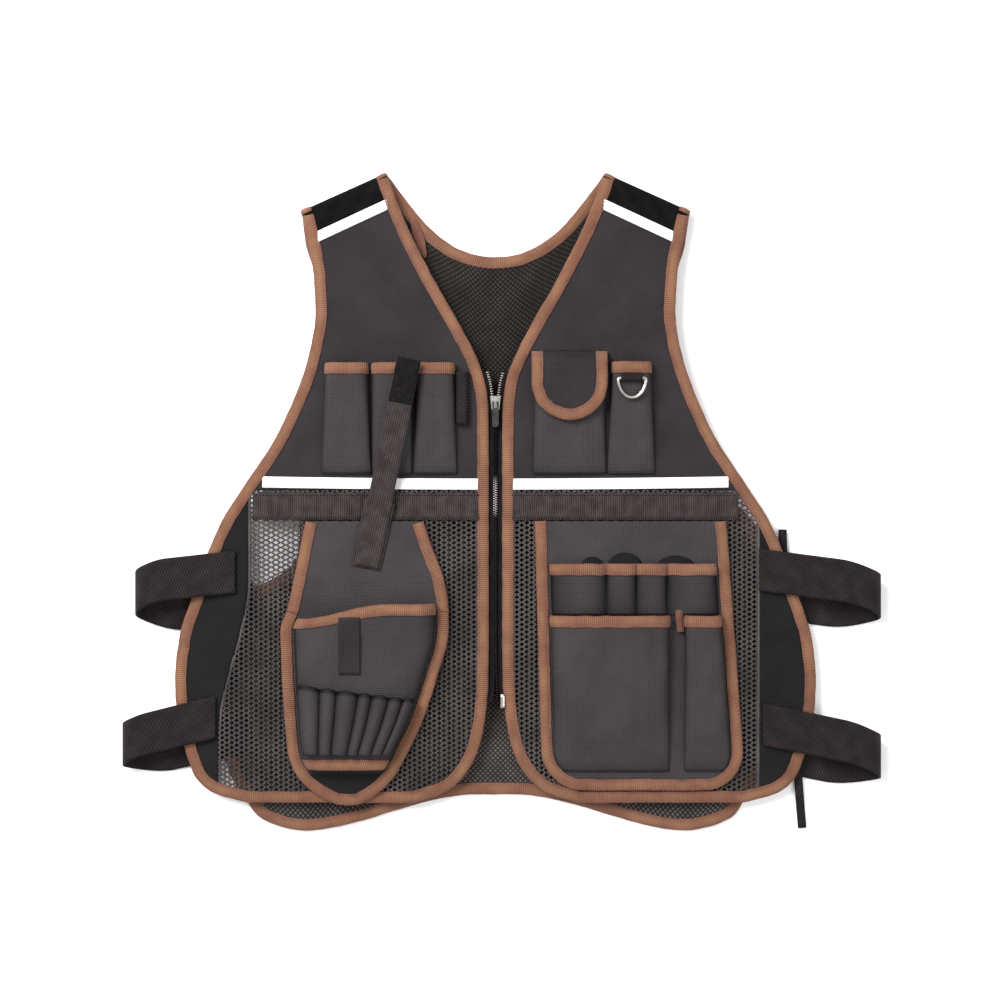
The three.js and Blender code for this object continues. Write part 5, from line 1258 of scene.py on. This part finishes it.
# ---- Drop strap -----------------------------------------------------------------------------------
# Ribbed elastic with a patch of hook tape at its head hangs from above the middle chest pocket down
# to the holster, where a second layer is sewn behind its tail.
STRAP = {
    "down": (0, 0.035, 0.07, 0.25, 0.45, 0.6, 0.72, 0.86, 1),
    "rise": (0.05, 0.9, 1, 0.97, 0.8, 0.42, 0.34, 0.3, 0.26),
}
DROP_FROM, DROP_TO = np.array([-79, 143]), np.array([-122, -63])


def strap_grid(from_share, to_share, width, lift, rows):
    t, u = np.linspace(from_share, to_share, rows)[:, None], np.linspace(-0.5, 0.5, 13)[None, :] * width
    place, way = DROP_FROM + (DROP_TO - DROP_FROM) * t, unit(DROP_TO - DROP_FROM)
    x, y = place[:, :1] - way[1] * u, place[:, 1:] + way[0] * u
    rise = (CHEST_DEPTH + WALL_OUT + 3.5) * along(STRAP, "down", "rise", t)
    return np.stack(
        [x, y, skin(place[:, :1], place[:, 1:]) + 2 * GAP + rise + WEBBING / 2 + lift + 0 * u], axis=2
    )


strap = cloth(
    "drop_webbing", strap_grid(0.055, 1, 23, 0, 90), elastic, "webbing", ["drop_strap"],
    thickness=WEBBING,
)
tail = cloth("drop_strap_tail", strap_grid(0.7, 1.01, 29, -1.7, 30), elastic, "webbing", thickness=1.3)

# Hook tape: black, with rows of small stiff hooks
hook_tape, tree, surface = finish("hook_tape", "#141211", 0.85, gloss=0.1)
where = add(tree, "ShaderNodeUVMap").outputs["UV"]
hooks = add(tree, "ShaderNodeTexVoronoi", {"Vector": where, "Scale": 450.0}).outputs["Distance"]
patterned(tree, surface, patchy(tree, where, "#121010", "#1c1918", 0.008), hooks, "#a0a0a0", 0.0008)
patch = cloth("hook_patch", strap_grid(0.05, 0.25, 22, 1.6, 24), hook_tape, "webbing", thickness=1.2)

# ---- Tool pouch -----------------------------------------------------------------------------------
# A round-cornered plate of oxford, bound all round, carries a row of small pockets over one large
# and one narrow pocket.
POUCH_CENTRE, POUCH_TOP, POUCH_BOTTOM, POUCH_LEAN = 128, 182, 194, 13
POUCH_BOTTOM_Y, POUCH_CORNER, LARGE_RIGHT, NARROW_LEFT = -276, 40, 166, 178
SMALL_MOUTH_Y, LARGE_MOUTH_Y, POCKET_FLOOR_Y, SMALL_SPLITS = -60, -109, -257, (105, 133, 162)


def pouch_edge(side):
    def edge(y):
        t = np.clip((PLATE_TOP_Y - y) / (PLATE_TOP_Y - POUCH_BOTTOM_Y), 0, 1)
        into = np.maximum(POUCH_CORNER - (y - POUCH_BOTTOM_Y), 0)
        rounded = POUCH_CORNER - np.sqrt(np.maximum(POUCH_CORNER**2 - into**2, 0))
        return POUCH_CENTRE + POUCH_LEAN * t + side * (
            (POUCH_TOP + (POUCH_BOTTOM - POUCH_TOP) * t) / 2 - rounded
        )

    return edge


pouch_left, pouch_right = pouch_edge(-1), pouch_edge(1)


def pouch_middle(x, y):
    return pouch_seat(x, y) + CLOTH / 2


def on_pouch(x, y):
    return pouch_seat(x, y) + CLOTH


corner_top = POUCH_BOTTOM_Y + POUCH_CORNER
corner = np.sin(np.linspace(0, 1, 30)[1:] * math.pi / 2)
straight_y = np.linspace(PLATE_TOP_Y, corner_top, 60)
y = np.concatenate([straight_y, corner_top + (POUCH_BOTTOM_Y + TUCK - corner_top) * corner])[:, None]
from_x, to_x = drawn_in(pouch_left, y, 1), drawn_in(pouch_right, y, -1)
grid = on_surface(from_x + (to_x - from_x) * np.linspace(0, 1, 60)[None, :], y, pouch_middle)
plate = cloth("pouch_plate", grid, oxfords["pocket"], "oxford", ["pouch_back"])
y = np.concatenate([straight_y, corner_top + (POUCH_BOTTOM_Y - corner_top) * corner])
line = np.vstack([np.column_stack([pouch_left(y), y]), np.column_stack([pouch_right(y), y])[::-1]])
bound("pouch_edge", on_edge(evenly(line), pouch_middle, 1), ["pouch_edge_binding"])


def in_pouch(edge, inward):
    return lambda y: drawn_in(edge, y, inward, BINDING_WIDTH + GAP + WALL_OUT)


in_left, in_right = in_pouch(pouch_left, 1), in_pouch(pouch_right, -1)
v = np.linspace(0, 1, 22)[:, None]
y = SMALL_MOUTH_Y - TAPE - GAP + (LARGE_MOUTH_Y + GAP - (SMALL_MOUTH_Y - TAPE - GAP)) * v
high, dip = fade(9, 1.6, 0.8)(v), 0.8
bounds = [in_left(y), *SMALL_SPLITS, in_right(y)]
# Painted shade in each small pocket grows towards its sides and is nearly full at the row's right edge
columns, heights, painted_shades = [], [], []
for i in range(4):
    for a in np.linspace(0, 1, 22, endpoint=False):
        at_plate = (i == 0 and a <= 0.5) or (i == 3 and a > 0.5)
        columns.append(bounds[i] + (bounds[i + 1] - bounds[i]) * a + 0 * y)
        painted_shades.append(0.8 * abs(2 * a - 1) ** 4 + 0.25 * abs(2 * a - 1) + 0 * y)
        heights.append(
            np.maximum(high * (1 - abs(2 * a - 1) ** 3.4) ** (1 / 2.2), 0 if at_plate else dip)
        )
x, h = np.concatenate(columns + [in_right(y)], axis=1), np.concatenate(heights + [0 * y], axis=1)
grid = np.stack([x, y + 0 * x, on_pouch(x, y + 0 * x) + GAP + h + CLOTH / 2], axis=2)
painted_shade = np.minimum(np.concatenate(painted_shades + [0.9 + 0 * y], axis=1), 0.95)
patch_pocket(
    "small_pocket_row", grid, "small_pockets", "small_pockets_binding",
    painted_shade,
)

# Their mouths stand open; a crescent of the black side cloth over three of them is painted shade for
# their inside
SMALL_MOUTHS = ((82, 101, 6), (107, 138, 10), (154, 187, 7))  # from, to and height of each
for i, (from_x, to_x, tall) in enumerate(SMALL_MOUTHS):
    t, u = np.linspace(0, 1, 8)[:, None], np.linspace(0, 1, 24)[None, :]
    x = from_x + (to_x - from_x) * u + 0 * t
    y = SMALL_MOUTH_Y - 2 + (2.2 + tall * (1 - (2 * u - 1) ** 2) ** 0.7) * t
    inner = np.stack([x, y, on_pouch(x, y) + 1.2 + 4 * (1 - t) + 0 * u], axis=2)
    mouth_shade = cloth(f"small_pocket_mouth_shade_{i + 1}", inner, oxfords["side"], "oxford", thickness=0.8)

large_right, narrow_left = constant(LARGE_RIGHT - WALL_OUT), constant(NARROW_LEFT + WALL_OUT)
mouth, floor = constant(LARGE_MOUTH_Y - TAPE - GAP), constant(POCKET_FLOOR_Y)
for name, edges, seed, flat in (
    ("large", (in_left, large_right), 31.0, (0.124, 0.148)),
    ("narrow", (narrow_left, in_right), 37.0, (0.054, 0.148)),
):
    grid = pocket_grid(
        *edges, mouth, floor, fade(15, 2.6), on_pouch, rows=44, points=61, folds=1.8, seed=seed
    )
    patch_pocket(
        name + "_pocket_body", grid, name + "_pocket", name + "_pocket_binding"
    )

# A turned-in end of the tape shows between the large and the narrow pocket
END_X, END_Y, END_WIDTH, END_LENGTH = 173.5, -104, 7, 21
v, u = np.linspace(0, 1, 16)[:, None], np.linspace(-0.5, 0.5, 9)[None, :]
x, y = END_X + 2 * v + END_WIDTH * u, END_Y - END_LENGTH * v + 0 * u
fold = np.stack([x, y, on_pouch(x, y) + 2.5 + 1.6 * np.cos(math.pi * u)], axis=2)
end = cloth("pocket_tape_end", fold, grosgrain, "binding", thickness=0.9)

# ---- Side straps ----------------------------------------------------------------------------------
# Four 40 mm webbing straps, each sewn to the side of a front, turned in an open loop and sewn again
# to the side edge of the back. A loose flat tape runs down behind the right side.
SIDE_STRAPS = {  # side, sewn, reach, y, slope, drop
    "upper_left": (-1, 247, 342, -68, -0.11, 30), "lower_left": (-1, 266, 354, -206, -0.24, 22),
    "upper_right": (1, 250, 366, -66, -0.13, 26), "lower_right": (1, 254, 366, -213, -0.2, 24),
}
STRAP_WIDTH, LOOP_HEIGHT, BACK_LIFT = 40, 24, TAPE + GAP
for name, (side, sewn, far, y, slope, drop) in SIDE_STRAPS.items():
    on_front = skin(side * sewn, y) + TAPE + 3 * GAP + WEBBING / 2
    lowest = WEBBING / 2 + GAP
    radius = (LOOP_HEIGHT - lowest) / 2
    over_edge = outer_edge(y) + 4
    line = [(sewn, on_front), ((sewn + over_edge) / 2, on_front + GAP), (over_edge, on_front + GAP)]
    for turn in np.linspace(math.pi / 2, -math.pi / 2, 22):
        bend = np.array([math.cos(turn), math.sin(turn)]) * radius
        line.append((far - radius + bend[0], lowest + radius + bend[1]))
    back_side = back_edge(y - drop, "left" if side < 0 else "right")
    over_back = BACK_LIFT + CLOTH + GAP + TAPE + GAP + WEBBING / 2
    line = np.array(
        line + [(back_side + 14, lowest), (back_side + 5, over_back), (back_side - 24, over_back)]
    )
    run = np.concatenate([[0], np.linalg.norm(np.diff(line, axis=0), axis=1).cumsum()])
    fine = np.linspace(0, run[-1], 110)
    x, z = np.interp(fine, run, line[:, 0]), np.interp(fine, run, line[:, 1])
    for _ in range(3):
        x[1:-1], z[1:-1] = (x[:-2] + 2 * x[1:-1] + x[2:]) / 4, (z[:-2] + 2 * z[1:-1] + z[2:]) / 4
    fall = slope * (np.minimum(x, far) - sewn) - drop * ease((fine / run[-1] - 0.3) / 0.4)
    u = np.linspace(-0.5, 0.5, 15)[None, :] * STRAP_WIDTH
    grid = np.stack([side * x[:, None] + 0 * u, y + fall[:, None] + u, z[:, None] + 0 * u], axis=2)
    way = unit(np.column_stack([np.gradient(x), np.gradient(z)]))
    normal = np.column_stack([-side * way[:, 1], 0 * x, way[:, 0]])
    normals = np.broadcast_to(normal[:, None], grid.shape)
    strap = cloth(
        "side_webbing_" + name, grid, webbing, "webbing", ["side_strap_" + name], thickness=WEBBING,
        normals=normals,
    )

TAPE_TOP, TAPE_END = (278, -28), (297, -313)
t = np.linspace(0, 1, 80)
line = np.column_stack(
    [TAPE_TOP[0] + (TAPE_END[0] - TAPE_TOP[0]) * t**1.3, TAPE_TOP[1] + (TAPE_END[1] - TAPE_TOP[1]) * t]
)
over_straps = WEBBING + 3 * GAP


def tape_rest(x, y):
    return over_straps + (GAP - over_straps) * ease((HEM_Y + 18 - y) / 30)


section = [(0, 0, 0), (8, 0, 0), (8, 1.2, 0), (0, 1.2, 0)]
tape = swept(
    "side_tape_webbing", on_edge(line, tape_rest, -1), section, webbing, "webbing", ["side_tape"]
)

# ---- Studio ---------------------------------------------------------------------------------------
# A plain pale floor, soft light from above and to the left, and a camera straight over the vest, as
# it was photographed.
FLOOR_HALF, FLOOR_Z = 6, -0.0005
floor_mesh = bpy.data.meshes.new("floor")
corners = [(x * FLOOR_HALF, y * FLOOR_HALF, FLOOR_Z) for x, y in ((-1, -1), (1, -1), (1, 1), (-1, 1))]
floor_mesh.from_pydata(corners, [], [(0, 1, 2, 3)])
floor = bpy.data.objects.new("floor", floor_mesh)
bpy.context.scene.collection.objects.link(floor)
pale, tree, surface = finish("pale_floor", "#ffffff", 0.9, gloss=0.1)
floor_mesh.materials.append(pale)

for name, place, size, power in (
    ("key", (-1.5, 1.4, 2.2), 1.6, 130), ("fill", (1.6, -0.6, 2.2), 2.6, 30)
):
    light = bpy.data.lights.new(name, "AREA")
    light.shape, light.size, light.energy = "DISK", size, power
    lamp = bpy.data.objects.new(name, light)
    lamp.location = place
    lamp.rotation_euler = (-Vector(place)).to_track_quat("-Z", "Y").to_euler()
    bpy.context.scene.collection.objects.link(lamp)
SKY_STRENGTH = 0.7
world = bpy.data.worlds.new("studio")
world.use_nodes = True
world.node_tree.nodes["Background"].inputs[0].default_value = linear("#ffffff")
world.node_tree.nodes["Background"].inputs[1].default_value = SKY_STRENGTH
bpy.context.scene.world = world
# Plain sRGB, so that the ground comes out white and the colours as they are given
bpy.context.scene.view_settings.view_transform = "Standard"

camera = bpy.data.objects.new("camera", bpy.data.cameras.new("camera"))
DISTANCE, SEEN_WIDTH, SENSOR, MIDDLE_X, FRONT_Z = 2.4, 0.95, 36, 4.3, 0.015  # m, m, mm, mm, m
camera.location = ((MIDDLE_X + ORIGIN[0]) / 1000, ORIGIN[1] / 1000, DISTANCE + FRONT_Z)
camera.data.sensor_width = SENSOR
camera.data.lens = SENSOR * DISTANCE / SEEN_WIDTH
bpy.context.scene.collection.objects.link(camera)
bpy.context.scene.camera = camera
